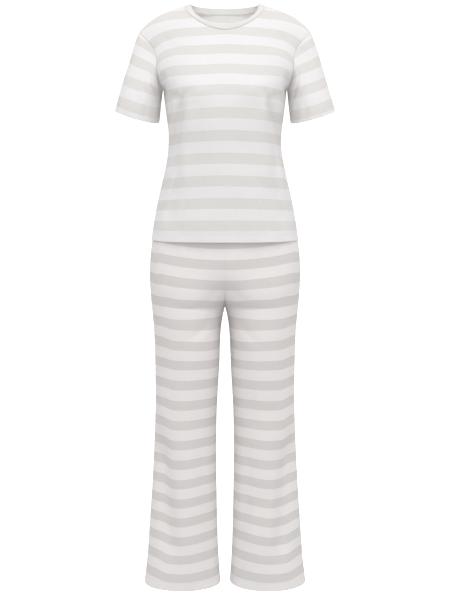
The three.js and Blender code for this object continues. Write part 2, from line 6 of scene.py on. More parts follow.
import bpy
import numpy as np
from bpy.props import FloatProperty, FloatVectorProperty, PointerProperty
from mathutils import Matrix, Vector


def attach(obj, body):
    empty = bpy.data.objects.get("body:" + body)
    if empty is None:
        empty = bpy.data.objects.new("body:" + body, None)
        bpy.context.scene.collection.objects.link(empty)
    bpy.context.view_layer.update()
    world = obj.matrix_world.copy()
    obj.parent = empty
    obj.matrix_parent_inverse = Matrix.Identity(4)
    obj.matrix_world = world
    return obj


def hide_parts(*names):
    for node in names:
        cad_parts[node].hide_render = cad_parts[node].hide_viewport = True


bl_info = {
    "name": "Striped pyjama set",
    "version": (1, 0, 0),
    "blender": (4, 5, 0),
    "location": "View3D > Sidebar > Pyjamas",
    "description": "Builds a hollow two-piece pyjama set in striped jersey, with its stage",
    "category": "Add Mesh",
}

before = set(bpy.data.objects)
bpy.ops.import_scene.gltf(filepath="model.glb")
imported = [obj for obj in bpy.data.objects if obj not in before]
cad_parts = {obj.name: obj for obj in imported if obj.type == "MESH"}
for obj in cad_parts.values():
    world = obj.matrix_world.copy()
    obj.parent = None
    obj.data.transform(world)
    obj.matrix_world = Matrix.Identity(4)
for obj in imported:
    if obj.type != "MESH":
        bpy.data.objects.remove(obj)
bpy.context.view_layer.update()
MM = 0.001  # the cut below is in millimetres

# Cloth, in millimetres
JERSEY = 1.1  # one layer
TURN_UP = 1.0  # what the second layer of a hem adds on the inside
SEAM_ALLOWANCE = 6.0  # overlocked edge inside each seam
ALLOWANCE_THICK = 0.7
TOP_HEM = 24
SLEEVE_HEM = 20
LEG_HEM = 24
SEAM_GAP = 0.16
MIDDLE_SEAM_GAP = 0.03  # at the trousers' middle, where the eye looks straight through both seams
SEAM_FADE = 0.16  # share of a half panel over which its big folds fade out towards a seam
SEAM_DIP = 0.4  # depth to which a seam pulls the cloth in
SEAM_REACH = 2.6
PUCKER = 0.28  # height of the small puckers that the stitching draws up beside a seam
PUCKER_PITCH = 11.0
PUCKER_REACH = 8.0
NEEDLE_ROWS = (2.5, 7.5)  # how far below the top of a turned-up hem the two needles run
STITCH = {"pitch": 3.3, "length": 2.7, "radius": 0.24, "lift": 0.12}
HEM_DRAW = 0.4  # depth to which a row of stitches draws the cloth in
HEM_ROLL = ((0.5, 16), (0.4, 27))  # height and length of the soft waves along a hem
SEAM_RADIUS = 0.35  # rounding of a wall's edge at a seam
HEM_RADIUS = 1.2
CREASE_CLEAR = {"top": 14, "sleeve": 18, "leg": 22}  # small creases fade out over this beside a seam
CREASE_RIDGE = 0.55  # how much cloth a crease pushes up beside itself, and how narrow it keeps
CREASE_NARROW = 0.62

# Neck, in millimetres. The front is -1 and the back 1. "low" is the neckline's lowest point and
# "power" its roundness; the binding's free edge crosses the middle plane at the y and z given.
NECK_HALF = 101
NECK_MID_Y = 15
NECKLINE = {-1: {"low": -57.4, "power": 1.65}, 1: {"low": -15, "power": 2.2}}
BAND_TOP = {"half": 85.5, "side_z": 9.3, -1: (-46, -41.5), 1: (67, 1.5)}
BAND_BULGE = 0.8
BAND_WALL = 2.2
DEEPEST_NECK = 150

# Sleeve hem and the directions in which a sleeve leaves its armhole, in millimetres
CUFF = {"centre": (225.3, 2, -275.2), "across": (55, 0, 15.5), "forward": (0, -54, -6)}
CUFF_PULL = {"top": 150, "under": 60, "direction": (0.27, 0, -0.963)}
LEAVE = {"top": (36, 0, -76), "front": (46, -26, -60), "under": (13, 0, 8), "back": (46, 26, -60)}

# Waistband, in millimetres
WAIST_HEIGHT = 34
WAIST_TAPER = 0.985
WAIST_WALL = 3.2

# Mesh spacing, in millimetres
STEP = 3.2
EDGE = (0.0, 0.12, 0.35, 1.3, 3.0)  # closer rows beside an edge, which round it off
HALF_TOP = 215.0  # about half a panel's width along the cloth
HALF_LEG = 225.0
SLEEVE_RADIUS = 58.0
SLEEVE_COLUMNS = 76  # in half a ring, as in the two below
BAND_COLUMNS = 60
WAIST_COLUMNS = 130
SLEEVE_SAMPLES = 400
ARMHOLE_STEP = 4.4  # length of armhole seam between two columns of a sleeve
NECK_EASE = 200
NECK_SPREAD = 0.66  # below 1, so that the columns stand further apart where the neckline is upright
SHOULDER_SHARE = 8 / 15  # share of the hem's half width that runs up to the shoulder

# Each row is one section of half a panel, from its outer edge to its inner edge, in millimetres.
# x, y, z is the outer edge. From there the cloth leaves at "turn" degrees off the X axis, for
# "reach" mm, and climbs by "rise". ix, iy, iz is the inner edge, met along the handle hx, hy.
SECTION = ("x", "y", "z", "turn", "rise", "reach", "ix", "iy", "iz", "hx", "hy")

TOP_FRONT = (
    (190.0, 4, -590, 90, 0, 76, 0, -119, -588, 120, 0),
    (181.8, 4, -540, 90, 0, 76, 0, -121, -536, 116, 0),
    (170.2, 4, -480, 90, 0, 77, 0, -124, -474, 110, 0),
    (153.8, 4, -410, 90, 0, 79, 0, -128, -403, 100, 0),
    (143.8, 4, -340, 90, 0, 81, 0, -132, -333, 94, 0),
    (149.4, 4, -275, 90, 0, 84, 0, -136, -268, 99, 0),
    (157.5, 5, -208, 88, 2, 80, 0, -129, -203, 106, 0),
    (169.7, -27, -178, 71, 8, 46, 0, -111, -158, 108, 0),
    (173.2, -31, -140, 50, 14, 45, 0, -86, -112, 92, 0),
    (183.0, -13, -101, 30, 24, 45, 0, -53, -60, 90, 0),
    (218.9, 15, -62.5, 0, 66, 47, 0, 15, 17, 58, 0),
)

TOP_BACK = (
    (190.0, 4, -590, 90, 0, 78, 0, 124, -593, 118, 0),
    (181.8, 4, -540, 90, 0, 74, 0, 119, -537, 113, 0),
    (170.2, 4, -480, 90, 0, 66, 0, 108, -475, 106, 0),
    (153.8, 4, -410, 90, 0, 58, 0, 95, -403, 96, 0),
    (143.8, 4, -340, 90, 0, 55, 0, 89, -333, 92, 0),
    (149.4, 4, -275, 90, 0, 58, 0, 95, -268, 98, 0),
    (157.5, 5, -208, 88, 2, 64, 0, 104, -203, 104, 0),
    (171.0, 47, -178, 66, 8, 42, 0, 108, -156, 104, 0),
    (177.0, 57, -140, 46, 14, 42, 0, 105, -108, 92, 0),
    (189.0, 47, -101, 26, 24, 45, 0, 92, -57, 88, 0),
    (218.9, 15, -62.5, 0, 66, 47, 0, 15, 17, 58, 0),
)

LEG_FRONT = (
    (214.0, -2, -1500, 90, 0, 82, 12.5, -2, -1500, 0, -82),
    (207.7, -1, -1449, 90, 0, 84, 16.5, -1, -1449, 0, -86),
    (199.5, 0, -1345, 90, 0, 88, 20.6, 0, -1345, 0, -92),
    (191.4, 2, -1230, 90, 0, 94, 22.8, 2, -1230, 0, -100),
    (185.5, 4, -1115, 90, 0, 104, 23.4, 4, -1115, 0, -110),
    (182.0, 6, -1010, 90, 0, 116, 20.6, 6, -1010, 0, -120),
    (182.3, 7, -915, 90, 0, 128, 15.4, 7, -915, 0, -130),
    (184.9, 8, -828, 90, 0, 136, 11.8, 10, -832, 0, -140),
    (188.6, 7, -784, 90, 0, 136, 6.2, 14, -790, 6, -144),
    (191.5, 6, -752, 90, 0, 132, 0.0, 15, -766, 14, -146),
    (194.0, 5, -718, 90, 0, 124, 0.0, -50, -745, 48, -78),
    (195.2, 4, -684, 90, 0, 112, 0.0, -88, -708, 82, -32),
    (193.4, 3, -645, 90, 0, 96, 0.0, -105, -666, 106, -6),
    (189.3, 3, -604, 90, 0, 82, 0.0, -109, -624, 112, 0),
    (179.6, 3, -560, 90, 0, 74, 0.0, -105, -577, 106, 0),
    (152.0, 3, -514, 90, 0, 66, 0.0, -98, -522, 90, 0),
)

LEG_BACK = (
    (214.0, -2, -1500, 90, 0, 72, 12.5, -2, -1500, 0, 72),
    (207.7, -1, -1449, 90, 0, 72, 16.5, -1, -1449, 0, 73),
    (199.5, 0, -1345, 90, 0, 74, 20.6, 0, -1345, 0, 76),
    (191.4, 2, -1230, 90, 0, 77, 22.8, 2, -1230, 0, 80),
    (185.5, 4, -1115, 90, 0, 80, 23.4, 4, -1115, 0, 84),
    (182.0, 6, -1010, 90, 0, 88, 20.6, 6, -1010, 0, 92),
    (182.3, 7, -915, 90, 0, 104, 15.4, 7, -915, 0, 108),
    (184.9, 8, -828, 90, 0, 120, 11.8, 10, -832, 0, 122),
    (188.6, 7, -784, 90, 0, 128, 6.2, 14, -790, 6, 130),
    (191.5, 6, -752, 90, 0, 132, 0.0, 15, -766, 14, 134),
    (194.0, 5, -718, 90, 0, 128, 0.0, 76, -746, 46, 78),
    (195.2, 4, -684, 90, 0, 114, 0.0, 106, -706, 80, 34),
    (193.4, 3, -645, 90, 0, 98, 0.0, 118, -660, 106, 6),
    (189.3, 3, -604, 90, 0, 82, 0.0, 118, -614, 110, 0),
    (179.6, 3, -560, 90, 0, 70, 0.0, 111, -562, 101, 0),
    (152.0, 3, -514, 90, 0, 62, 0.0, 98, -508, 86, 0),
)

# The front of each trouser hem hangs lower than its seams, in millimetres.
LEG_SAG = {"depth": 12, "from_hem": 420}

# Each row is a soft fold, seen from the front or back as a line from x, z to x2, z2, in millimetres.
# depth is below 0 for a trough and above 0 for a ridge; width is its half width, and it fades out
# over "fade" at each end. The big folds are the same on both halves.
FOLD = ("x", "z", "x2", "z2", "depth", "width", "fade")

TOP_FRONT_FOLDS = (
    (112, -236, 140, -392, -9, 13, 50),
    (88, -250, 108, -420, 4, 17, 60),
    (124, -450, 150, -540, -4, 16, 50),
    (76, -190, 76, -236, 7, 46, 50),
)

TOP_BACK_FOLDS = (
    (84, -250, 104, -470, -5, 17, 70),
    (30, -330, 22, -480, 3, 16, 60),
    (70, -140, 74, -196, 4, 44, 40),
)

LEG_FRONT_FOLDS = (
    (168, -1110, 148, -1400, -11, 22, 120),
    (104, -1080, 106, -1400, 3, 26, 120),
)

LEG_BACK_FOLDS = (
    (134, -1060, 130, -1400, -9, 24, 120),
    (66, -1120, 62, -1420, -6, 20, 120),
    (86, -760, 96, -960, -5, 24, 80),
)

# Smaller creases, uneven from one side to the other. "bow" bends the line sideways at its middle.
CREASE = ("x", "z", "x2", "z2", "bow", "depth", "width", "fade")

TOP_FRONT_CREASES = (
    (-158, -168, -152, -218, 0, -5.2, 9, 26),
    (159, -170, 153, -218, 0, -4.0, 9, 26),
    (-138, -226, -78, -205, 4, -3.4, 12, 30),
    (142, -224, 84, -205, -4, -3.0, 12, 30),
    (-121, -232, -142, -392, 3, 3.2, 8, 60),
    (-106, -240, -124, -352, 3, -3.4, 8, 50),
    (95, -250, 150, -462, -4, 3.2, 8, 70),
    (110, -252, 160, -448, -4, -3.6, 8, 60),
    (-116, -420, -144, -512, -4, -3.6, 9, 50),
    (-128, -412, -155, -500, -4, 2.4, 8, 50),
    (-60, -300, -84, -430, 5, -1.2, 14, 60),
    (48, -330, 66, -460, -4, -1.0, 14, 60),
    (-30, -420, -38, -560, 3, -1.1, 15, 60),
    (92, -440, 112, -572, -4, -1.6, 12, 50),
    (-96, -450, -120, -575, 4, -1.8, 12, 50),
    (24, -470, 30, -580, 3, -0.9, 14, 50),
    (-62, -500, -70, -588, -2, 1.2, 13, 40),
    (64, -508, 74, -588, 2, 1.1, 13, 40),
    (-162, -60, -118, -112, 4, -1.2, 12, 36),
    (160, -62, 112, -106, -4, -1.2, 12, 36),
    (-70, -90, -64, -190, 0, 0.8, 22, 60),
    (70, -96, 60, -186, 0, 0.8, 22, 60),
)

TOP_BACK_CREASES = (
    (150, -204, 98, -262, -6, -2.0, 9, 30),
    (-150, -206, -92, -258, 6, -2.2, 9, 30),
    (-60, -90, -70, -230, 4, 1.4, 20, 60),
    (62, -96, 72, -226, -4, 1.2, 20, 60),
    (-12, -260, 4, -470, 5, -1.6, 15, 80),
    (46, -300, 58, -480, -4, -1.8, 13, 70),
    (-50, -310, -64, -500, 4, -1.6, 13, 70),
    (120, -300, 142, -440, 4, -1.8, 10, 50),
    (-118, -310, -146, -450, -4, -2.0, 10, 50),
    (-96, -470, -112, -585, 4, -1.8, 13, 50),
    (88, -480, 106, -588, -3, -1.6, 13, 50),
    (10, -520, 12, -592, 0, 1.2, 16, 40),
)

LEG_FRONT_CREASES = (
    (40, -800, 92, -850, 6, -1.6, 12, 40),
    (10, -700, 60, -742, 4, -1.6, 10, 34),
    (26, -600, 44, -700, 3, 1.0, 14, 50),
    (70, -560, 84, -690, -3, -1.2, 14, 60),
    (130, -600, 150, -760, 4, -1.2, 16, 60),
    (60, -900, 66, -1060, 4, -1.2, 16, 70),
    (60, -1130, 52, -1330, -3, -2.0, 13, 80),
    (128, -1180, 122, -1380, 3, 1.6, 12, 80),
    (44, -1330, 40, -1480, 2, -1.4, 13, 60),
    (84, -1360, 92, -1500, 2, 1.2, 14, 50),
    (182, -1000, 176, -1180, 2, -1.4, 12, 60),
)

LEG_BACK_CREASES = (
    (20, -690, 84, -760, 8, -2.6, 12, 40),
    (14, -740, 70, -830, 8, -2.2, 12, 44),
    (110, -700, 150, -800, -5, -1.6, 14, 50),
    (46, -560, 60, -650, 3, -1.2, 14, 50),
    (120, -860, 116, -1040, 4, -1.6, 15, 70),
    (160, -1000, 168, -1200, 3, -1.6, 14, 80),
    (100, -1240, 96, -1460, -3, 1.6, 15, 80),
    (170, -1300, 178, -1480, 2, -1.4, 13, 60),
    (34, -1180, 40, -1360, 2, -1.6, 12, 70),
)

# How much each side differs from the table above, so that the two legs don't match like a mirror.
SIDE_SHIFT = {"x": 4.0, "z": 14.0, "depth": 0.25}

# Stripes in millimetres. Each row says how far a stripe is moved up the cloth at a place w above the
# hem. On the top that is at the side seam, from where it fades out towards the middle of the body.
TOP_STRIPE_SHIFT = ("w", "side")

TOP_STRIPES = (
    (0, 0),
    (40, 7),
    (95, 14),
    (150, 16),
    (260, 16),
    (370, 24),
    (436, 20),
    (520, 38),
    (620, 40),
)

# On a leg it is beside the outer seam, in the middle and beside the inner seam. The outer stretch
# passes into the middle at a fold, whose place differs from leg to leg.
LEG_STRIPE_SHIFT = ("w", "outer", "middle", "inner")

LEG_STRIPES = (
    (0, -6, -2, -3),
    (90, -6, 4, -3),
    (190, -1, 8.5, 0),
    (300, 3, 12.5, 5),
    (400, 4, 13, 8),
    (500, 4, 11, 8.5),
    (600, 3.5, 8, 8.5),
    (700, -1, 4, 4),
    (765, -4, -6, -15),
    (820, -9.5, -14, -16.5),
    (870, -10, -15, -15.5),
)

LEG_STRIPE_FOLD = {"right": 0.245, "left": 0.30, "wide": 0.15, "inner": 0.58, "inner_wide": 0.34}

# On a sleeve: how far above the hem its first grey band lies below the body's, on the two sides, and
# how the bands dip beside the armhole seam.
SLEEVE_STRIPES = {"right": 21.5, "left": 15, "dip": 18, "dip_reach": 22}


def table(columns, rows):
    return [dict(zip(columns, row)) for row in rows]


def smooth(k):
    c = np.clip(k, 0.0, 1.0)
    return c * c * (3.0 - 2.0 * c)


def unit(a):
    return a / np.maximum(np.linalg.norm(a, axis=-1, keepdims=True), 1e-12)


def span(a):
    return np.linalg.norm(a, axis=-1)


def mirrored(points):
    return points * np.array((-1.0, 1.0, 1.0))


def both_sides(half, flip=False):
    """A whole panel's columns from those of its right half. flip turns points or directions over."""
    other = half[-2::-1]
    return np.concatenate((half, mirrored(other) if flip else other))


def whole_ring(back, front):
    """A closed ring of points or directions from the right halves of its back and front."""
    other = np.concatenate((front[-2::-1], back[1:-1]))
    return np.concatenate((back[:0:-1], front, mirrored(other)))


class Spline:
    """A cubic spline through (knots, values), free at its start and with a given slope at its end."""

    def __init__(self, knots, values, end_slope=None):
        n = len(knots)
        second = [0.0] * n
        work = [0.0] * n
        for i in range(1, n - 1):
            wide = knots[i + 1] - knots[i - 1]
            share = (knots[i] - knots[i - 1]) / wide
            pivot = share * second[i - 1] + 2
            rise = (values[i + 1] - values[i]) / (knots[i + 1] - knots[i])
            before = (values[i] - values[i - 1]) / (knots[i] - knots[i - 1])
            second[i] = (share - 1) / pivot
            work[i] = (6 * (rise - before) / wide - share * work[i - 1]) / pivot
        if end_slope is not None:
            h = knots[-1] - knots[-2]
            last = (3 / h) * (end_slope - (values[-1] - values[-2]) / h)
            second[-1] = (last - 0.5 * work[-2]) / (0.5 * second[-2] + 1)
        for i in range(n - 2, -1, -1):
            second[i] = second[i] * second[i + 1] + work[i]
        self.knots = np.array(knots, float)
        self.values = np.array(values, float)
        self.second = np.array(second)

    def __call__(self, w):
        w = np.asarray(w, float)
        k = np.clip(np.searchsorted(self.knots, w, side="left") - 1, 0, len(self.knots) - 2)
        h = self.knots[k + 1] - self.knots[k]
        a = (self.knots[k + 1] - w) / h
        b = (w - self.knots[k]) / h
        bend = ((a**3 - a) * self.second[k] + (b**3 - b) * self.second[k + 1]) * (h * h / 6)
        return a * self.values[k] + b * self.values[k + 1] + bend


class CorneredSpline:
    """Two splines that meet at a corner, or one where there is none."""

    def __init__(self, knots, values, corner, end_slope=None):
        self.split = knots[corner] if corner else -math.inf
        self.above = Spline(knots[corner:], values[corner:], end_slope)
        self.below = Spline(knots[: corner + 1], values[: corner + 1]) if corner else None

    def __call__(self, w):
        above = self.above(w)
        return above if self.below is None else np.where(w < self.split, self.below(w), above)


def along_fold(fold, from_x, from_z, dx, dz):
    """Where points lie beside a fold's line: the share of its length, how far away, and how strong
    the fold is there, from 0 to 1."""
    long = math.hypot(dx, dz)
    along = (from_x * dx + from_z * dz) / long
    away = (from_x * dz - from_z * dx) / long
    near = smooth(along / fold["fade"] + 0.5) * smooth((long - along) / fold["fade"] + 0.5)
    return along / long, away, near


def crease_shape(crease, from_x, from_z, dx, dz):
    """A small crease: its trough has a low ridge on both sides, as pushed cloth does."""
    share, away, near = along_fold(crease, from_x, from_z, dx, dz)
    share = np.clip(share, 0, 1)
    away = (away - crease.get("bow", 0) * 4 * share * (1 - share)) / crease["width"]
    return crease["depth"] * near * (1 - CREASE_RIDGE * away**2) * np.exp(-CREASE_NARROW * away**2)


def from_start(fold, points):
    """Where points lie from a fold's start, and where its end lies from there."""
    from_x = points[..., 0] - fold["x"]
    from_z = points[..., 2] - fold["z"]
    return from_x, from_z, fold["x2"] - fold["x"], fold["z2"] - fold["z"]


def fold_lift(folds, points):
    lift = np.zeros(points.shape[:-1])
    for fold in folds:
        away, near = along_fold(fold, *from_start(fold, points))[1:]
        lift += fold["depth"] * near * np.exp(-((away / fold["width"]) ** 2))
    return lift


def crease_lift(creases, points):
    return sum(crease_shape(crease, *from_start(crease, points)) for crease in creases)


def ripple(x, z, tone):
    """The slight unevenness of hanging cloth, a sum of long waves, in millimetres."""
    waves = ((0.031, 0.011, 0.5), (-0.019, 0.027, 0.45), (0.047, -0.021, 0.25), (0.013, 0.052, 0.22))
    return sum(a * np.sin(kx * x + kz * z + 1.7 * i + tone) for i, (kx, kz, a) in enumerate(waves))


class HalfPanel:
    """Half a panel's surface. s runs from its outer edge, 0, to its inner edge, 1, and w from the
    hem up. facing is -1 on the front and 1 on the back."""

    def __init__(self, rows, facing, folds, underarm=0, crotch=0, top_slope=(None,) * 3, sag=None):
        self.facing = facing
        self.folds = table(FOLD, folds)
        self.crotch = crotch
        self.sag = sag
        sections = np.array([self.controls(row) for row in table(SECTION, rows)])
        self.knots = np.concatenate(([0], np.cumsum(span(np.diff(sections[:, 0], axis=0)))))
        self.top = self.knots[-1]
        corners = (underarm, 0, 0, crotch)
        self.lines = [
            [CorneredSpline(self.knots, values[:, k], corner, top_slope[k]) for k in range(3)]
            for values, corner in zip(sections.transpose(1, 0, 2), corners)
        ]

    def controls(self, row):
        turn = math.radians(row["turn"])
        out = (-math.cos(turn) * row["reach"], self.facing * math.sin(turn) * row["reach"], row["rise"])
        edge = np.array((row["x"], row["y"], row["z"]), float)
        inner = np.array((row["ix"], row["iy"], row["iz"]), float)
        return (edge, edge + out, inner + (row["hx"], row["hy"], 0), inner)

    def plain(self, s, w):
        r = 1 - s
        weights = (r * r * r, 3 * r * r * s, 3 * r * s * s, s * s * s)
        point = np.stack(
            [sum(weight * line[axis](w) for weight, line in zip(weights, self.lines)) for axis in range(3)],
            axis=-1,
        )
        if self.sag:
            point[..., 2] -= (
                self.sag["depth"] * np.sin(math.pi * s) * (1 - smooth(w / self.sag["from_hem"]))
            )
        return point

    def normal_of(self, surface, s, w):
        along = surface(np.minimum(1, s + 0.002), w) - surface(np.maximum(0, s - 0.002), w)
        up = surface(s, w + 0.5) - surface(s, w - 0.5)
        return unit(np.cross(along, up)) * self.facing

    def at(self, s, w):
        point = self.plain(s, w)
        inner_fade = smooth((1 - s) / SEAM_FADE) if self.crotch else 1.0
        lift = fold_lift(self.folds, point) * smooth(s / SEAM_FADE) * inner_fade
        return point + self.normal_of(self.plain, s, w) * lift[..., None]

    def normal(self, s, w):
        return self.normal_of(self.at, s, w)


def bisect(low, high, is_below, count):
    a = np.full(count, float(low))
    b = np.full(count, float(high))
    for _ in range(26):
        middle = (a + b) / 2
        below = is_below(middle)
        a = np.where(below, middle, a)
        b = np.where(below, b, middle)
    return (a + b) / 2


UNDERARM_ROW = 6
CROTCH_ROW = 9
top_front = HalfPanel(TOP_FRONT, -1, TOP_FRONT_FOLDS, underarm=UNDERARM_ROW, top_slope=(0, 0.9, 0))
top_back = HalfPanel(TOP_BACK, 1, TOP_BACK_FOLDS, underarm=UNDERARM_ROW, top_slope=(0, -0.9, 0))
leg_front = HalfPanel(LEG_FRONT, -1, LEG_FRONT_FOLDS, crotch=CROTCH_ROW, sag=LEG_SAG)
leg_back = HalfPanel(LEG_BACK, 1, LEG_BACK_FOLDS, crotch=CROTCH_ROW)
UNDERARM_W = top_front.knots[UNDERARM_ROW]
CROTCH_W = {-1: leg_front.knots[CROTCH_ROW], 1: leg_back.knots[CROTCH_ROW]}


def neck_seam(panel, tau):
    """The surface's own (s, w) on the neckline at each angle tau round the neck."""
    tau = np.asarray(tau, float)
    n = len(tau)
    shoulder = bisect(0, 1, lambda s: panel.plain(s, np.full(1, panel.top))[:, 0] > NECK_HALF, 1)
    side_z = panel.plain(shoulder, np.full(1, panel.top))[0, 2]
    neckline = NECKLINE[panel.facing]
    x = NECK_HALF * np.cos(tau)
    share = np.minimum(1, x / NECK_HALF) ** neckline["power"]
    height = side_z - (side_z - neckline["low"]) * (1 - share) ** (1 / neckline["power"])

    def s_at(w):
        return bisect(shoulder[0] * 0.8, 1, lambda s: panel.plain(s, w)[:, 0] > x, n)

    def under(w):
        return panel.plain(s_at(w), w)[:, 2] < height

    w = bisect(panel.top - DEEPEST_NECK, panel.top, under, n)
    s = s_at(w)
    at_shoulder = tau < 1e-6
    at_middle = tau > math.pi / 2 - 1e-6
    s = np.where(at_shoulder, shoulder[0], np.where(at_middle, 1.0, s))
    w = np.where(at_shoulder, panel.top, w)
    return s, w


def band_edge(facing, tau):
    """The neckband's free edge at each angle tau round the neck."""
    turn = np.sin(tau)
    y, z = BAND_TOP[facing]
    return np.stack(
        [
            BAND_TOP["half"] * np.cos(tau),
            NECK_MID_Y + (y - NECK_MID_Y) * turn,
            BAND_TOP["side_z"] + (z - BAND_TOP["side_z"]) * turn,
        ],
        axis=-1,
    )


def square_to(direction, line):
    """The part of a direction that is square to a line, as a unit vector."""
    share = (direction * line).sum(-1, keepdims=True) / (line * line).sum(-1, keepdims=True)
    return unit(direction - line * share)


def neck_rim(panel, s, w, tau):
    rise = band_edge(panel.facing, tau) - panel.at(s, w)
    normal = panel.normal(s, w)
    return unit(normal + square_to(normal, rise))


def around(four, psi):
    """The direction in which a sleeve leaves the armhole; psi is 0 at the shoulder, 180 degrees at
    the underarm and above 0 on the front."""
    top, front, under, back = (np.array(four[k], float) for k in ("top", "front", "under", "back"))
    psi = psi[..., None]
    mean = (top + under + front + back) / 4
    twice = (top + under - front - back) / 4
    return mean + (top - under) / 2 * np.cos(psi) + (front - back) / 2 * np.sin(psi) + twice * np.cos(2 * psi)


def armhole_seam(panel, w):
    """Points of the armhole's seam, the angle psi and the sleeve's direction there, and the direction
    in which body and sleeve are both thick."""
    psi = -panel.facing * math.pi * (1 - (w - UNDERARM_W) / (panel.top - UNDERARM_W))
    leave = around(LEAVE, psi)
    zero = np.zeros_like(w)
    point = panel.at(zero, w)
    low = np.maximum(UNDERARM_W, w - 1)
    high = np.minimum(panel.top, w + 1)
    tangent = panel.at(zero, high) - panel.at(zero, low)
    sleeve_normal = unit(np.cross(tangent, leave)) * panel.facing
    body_normal = panel.normal(zero, w)
    between = sleeve_normal + body_normal
    from_end = np.minimum(w - UNDERARM_W, panel.top - w)
    between[..., 1] *= smooth(from_end / 14)
    thick = unit(between)
    stretch = 1 / np.maximum(0.6, (thick * body_normal).sum(-1))
    return psi, point, leave, thick * stretch[..., None]


def graded(length, step, start=True, end=True):
    """Places from 0 to length, about step apart and closer at the ends that are asked for."""
    near = np.array(EDGE)
    low = near if start else np.array((0.0,))
    high = length - near[::-1] if end else np.array((length,))
    count = max(2, round((high[0] - low[-1]) / step))
    even = np.linspace(low[-1], high[0], count + 1)[1:-1]
    return np.concatenate((low, even, high))


def distances(points, axis, backward=False):
    """How far each point of a grid lies along the grid's lines from the first, or the last."""
    steps = span(np.diff(points, axis=axis))
    if backward:
        steps = np.flip(steps, axis)
    along = np.cumsum(steps, axis=axis)
    zero = np.zeros_like(np.take(along, [0], axis=axis))
    along = np.concatenate((zero, along), axis=axis)
    return np.flip(along, axis) if backward else along


def grid_normals(points, closed, towards):
    """Normals of a grid of points, on the side of the rough directions "towards"."""
    if closed:
        across = np.roll(points, -1, axis=0) - np.roll(points, 1, axis=0)
    else:
        across = np.gradient(points, axis=0)
    up = np.gradient(points, axis=1)
    normal = unit(np.cross(across, up))
    side = np.sign((normal * towards).sum(-1, keepdims=True))
    return normal * np.where(side == 0, 1, side)


def rounded(distance, radius):
    """The share of a wall's thickness that is left beside a rounded edge."""
    return np.sqrt(np.clip(1 - (1 - np.clip(distance / radius, 0, 1)) ** 2, 0.02, 1))


def seam_relief(distance, along, tone):
    """How a seam draws the cloth in, with small puckers beside it."""
    dip = -SEAM_DIP * np.exp(-((distance / SEAM_REACH) ** 2))
    beat = np.sin(2 * math.pi * along / PUCKER_PITCH + 1.9 * np.sin(along / 37.0 + tone) + tone)
    beside = (distance / PUCKER_REACH) * np.exp(1 - distance / PUCKER_REACH)
    return dip + PUCKER * beat * np.where(distance < 6 * PUCKER_REACH, beside, 0)


def allowance(distance):
    """The overlocked edge inside a seam."""
    return ALLOWANCE_THICK * (1 - smooth((distance - SEAM_ALLOWANCE + 0.6) / 1.2))


def top_stripe_shift(s, w):
    shift = table(TOP_STRIPE_SHIFT, TOP_STRIPES)
    at_side = Spline([row["w"] for row in shift], [row["side"] for row in shift])
    return at_side(w) * (1 - s) ** 1.5


def leg_stripe_shift(side, s, w):
    shift = table(LEG_STRIPE_SHIFT, LEG_STRIPES)
    places = [row["w"] for row in shift]
    outer, middle, inner = (
        Spline(places, [row[k] for row in shift])(np.minimum(w, places[-1])) for k in LEG_STRIPE_SHIFT[1:]
    )
    fold = LEG_STRIPE_FOLD["right" if side > 0 else "left"]
    past_fold = smooth((s - fold) / LEG_STRIPE_FOLD["wide"] + 0.5)
    near_inner = smooth((s - LEG_STRIPE_FOLD["inner"]) / LEG_STRIPE_FOLD["inner_wide"] + 0.5)
    return outer + (middle - outer) * past_fold + (inner - middle) * near_inner


def quad_object(name, vertices, faces, uv, material):
    """A closed mesh of four-sided faces, turned so that they point outwards. uv is in millimetres."""
    corner = vertices[faces]
    volume = (corner[:, 0] * np.cross(corner[:, 1], corner[:, 2])).sum()
    volume += (corner[:, 0] * np.cross(corner[:, 2], corner[:, 3])).sum()
    if volume < 0:
        faces = faces[:, ::-1]
    mesh = bpy.data.meshes.new(name)
    mesh.vertices.add(len(vertices))
    mesh.vertices.foreach_set("co", (vertices * MM).ravel())
    mesh.loops.add(faces.size)
    mesh.loops.foreach_set("vertex_index", np.ascontiguousarray(faces).ravel())
    mesh.polygons.add(len(faces))
    mesh.polygons.foreach_set("loop_start", np.arange(0, faces.size, 4))
    mesh.polygons.foreach_set("use_smooth", np.ones(len(faces), bool))
    mesh.update(calc_edges=True)
    if uv is not None:
        layer = mesh.uv_layers.new(name="cloth")
        layer.data.foreach_set("uv", (uv * MM)[faces.ravel()].ravel())
    if mesh.validate():
        raise RuntimeError(f"{name}: its mesh has faults")
    mesh.materials.append(material)
    piece = bpy.data.objects.new(name, mesh)
    bpy.context.scene.collection.objects.link(piece)
    return piece


def at_level(values, heights, level):
    """Where each column of a grid crosses a height above the hem."""
    if heights[0, 0] > heights[0, -1]:
        values, heights = values[:, ::-1], heights[:, ::-1]
    return np.array([[np.interp(level, h, v[:, k]) for k in range(3)] for v, h in zip(values, heights)])


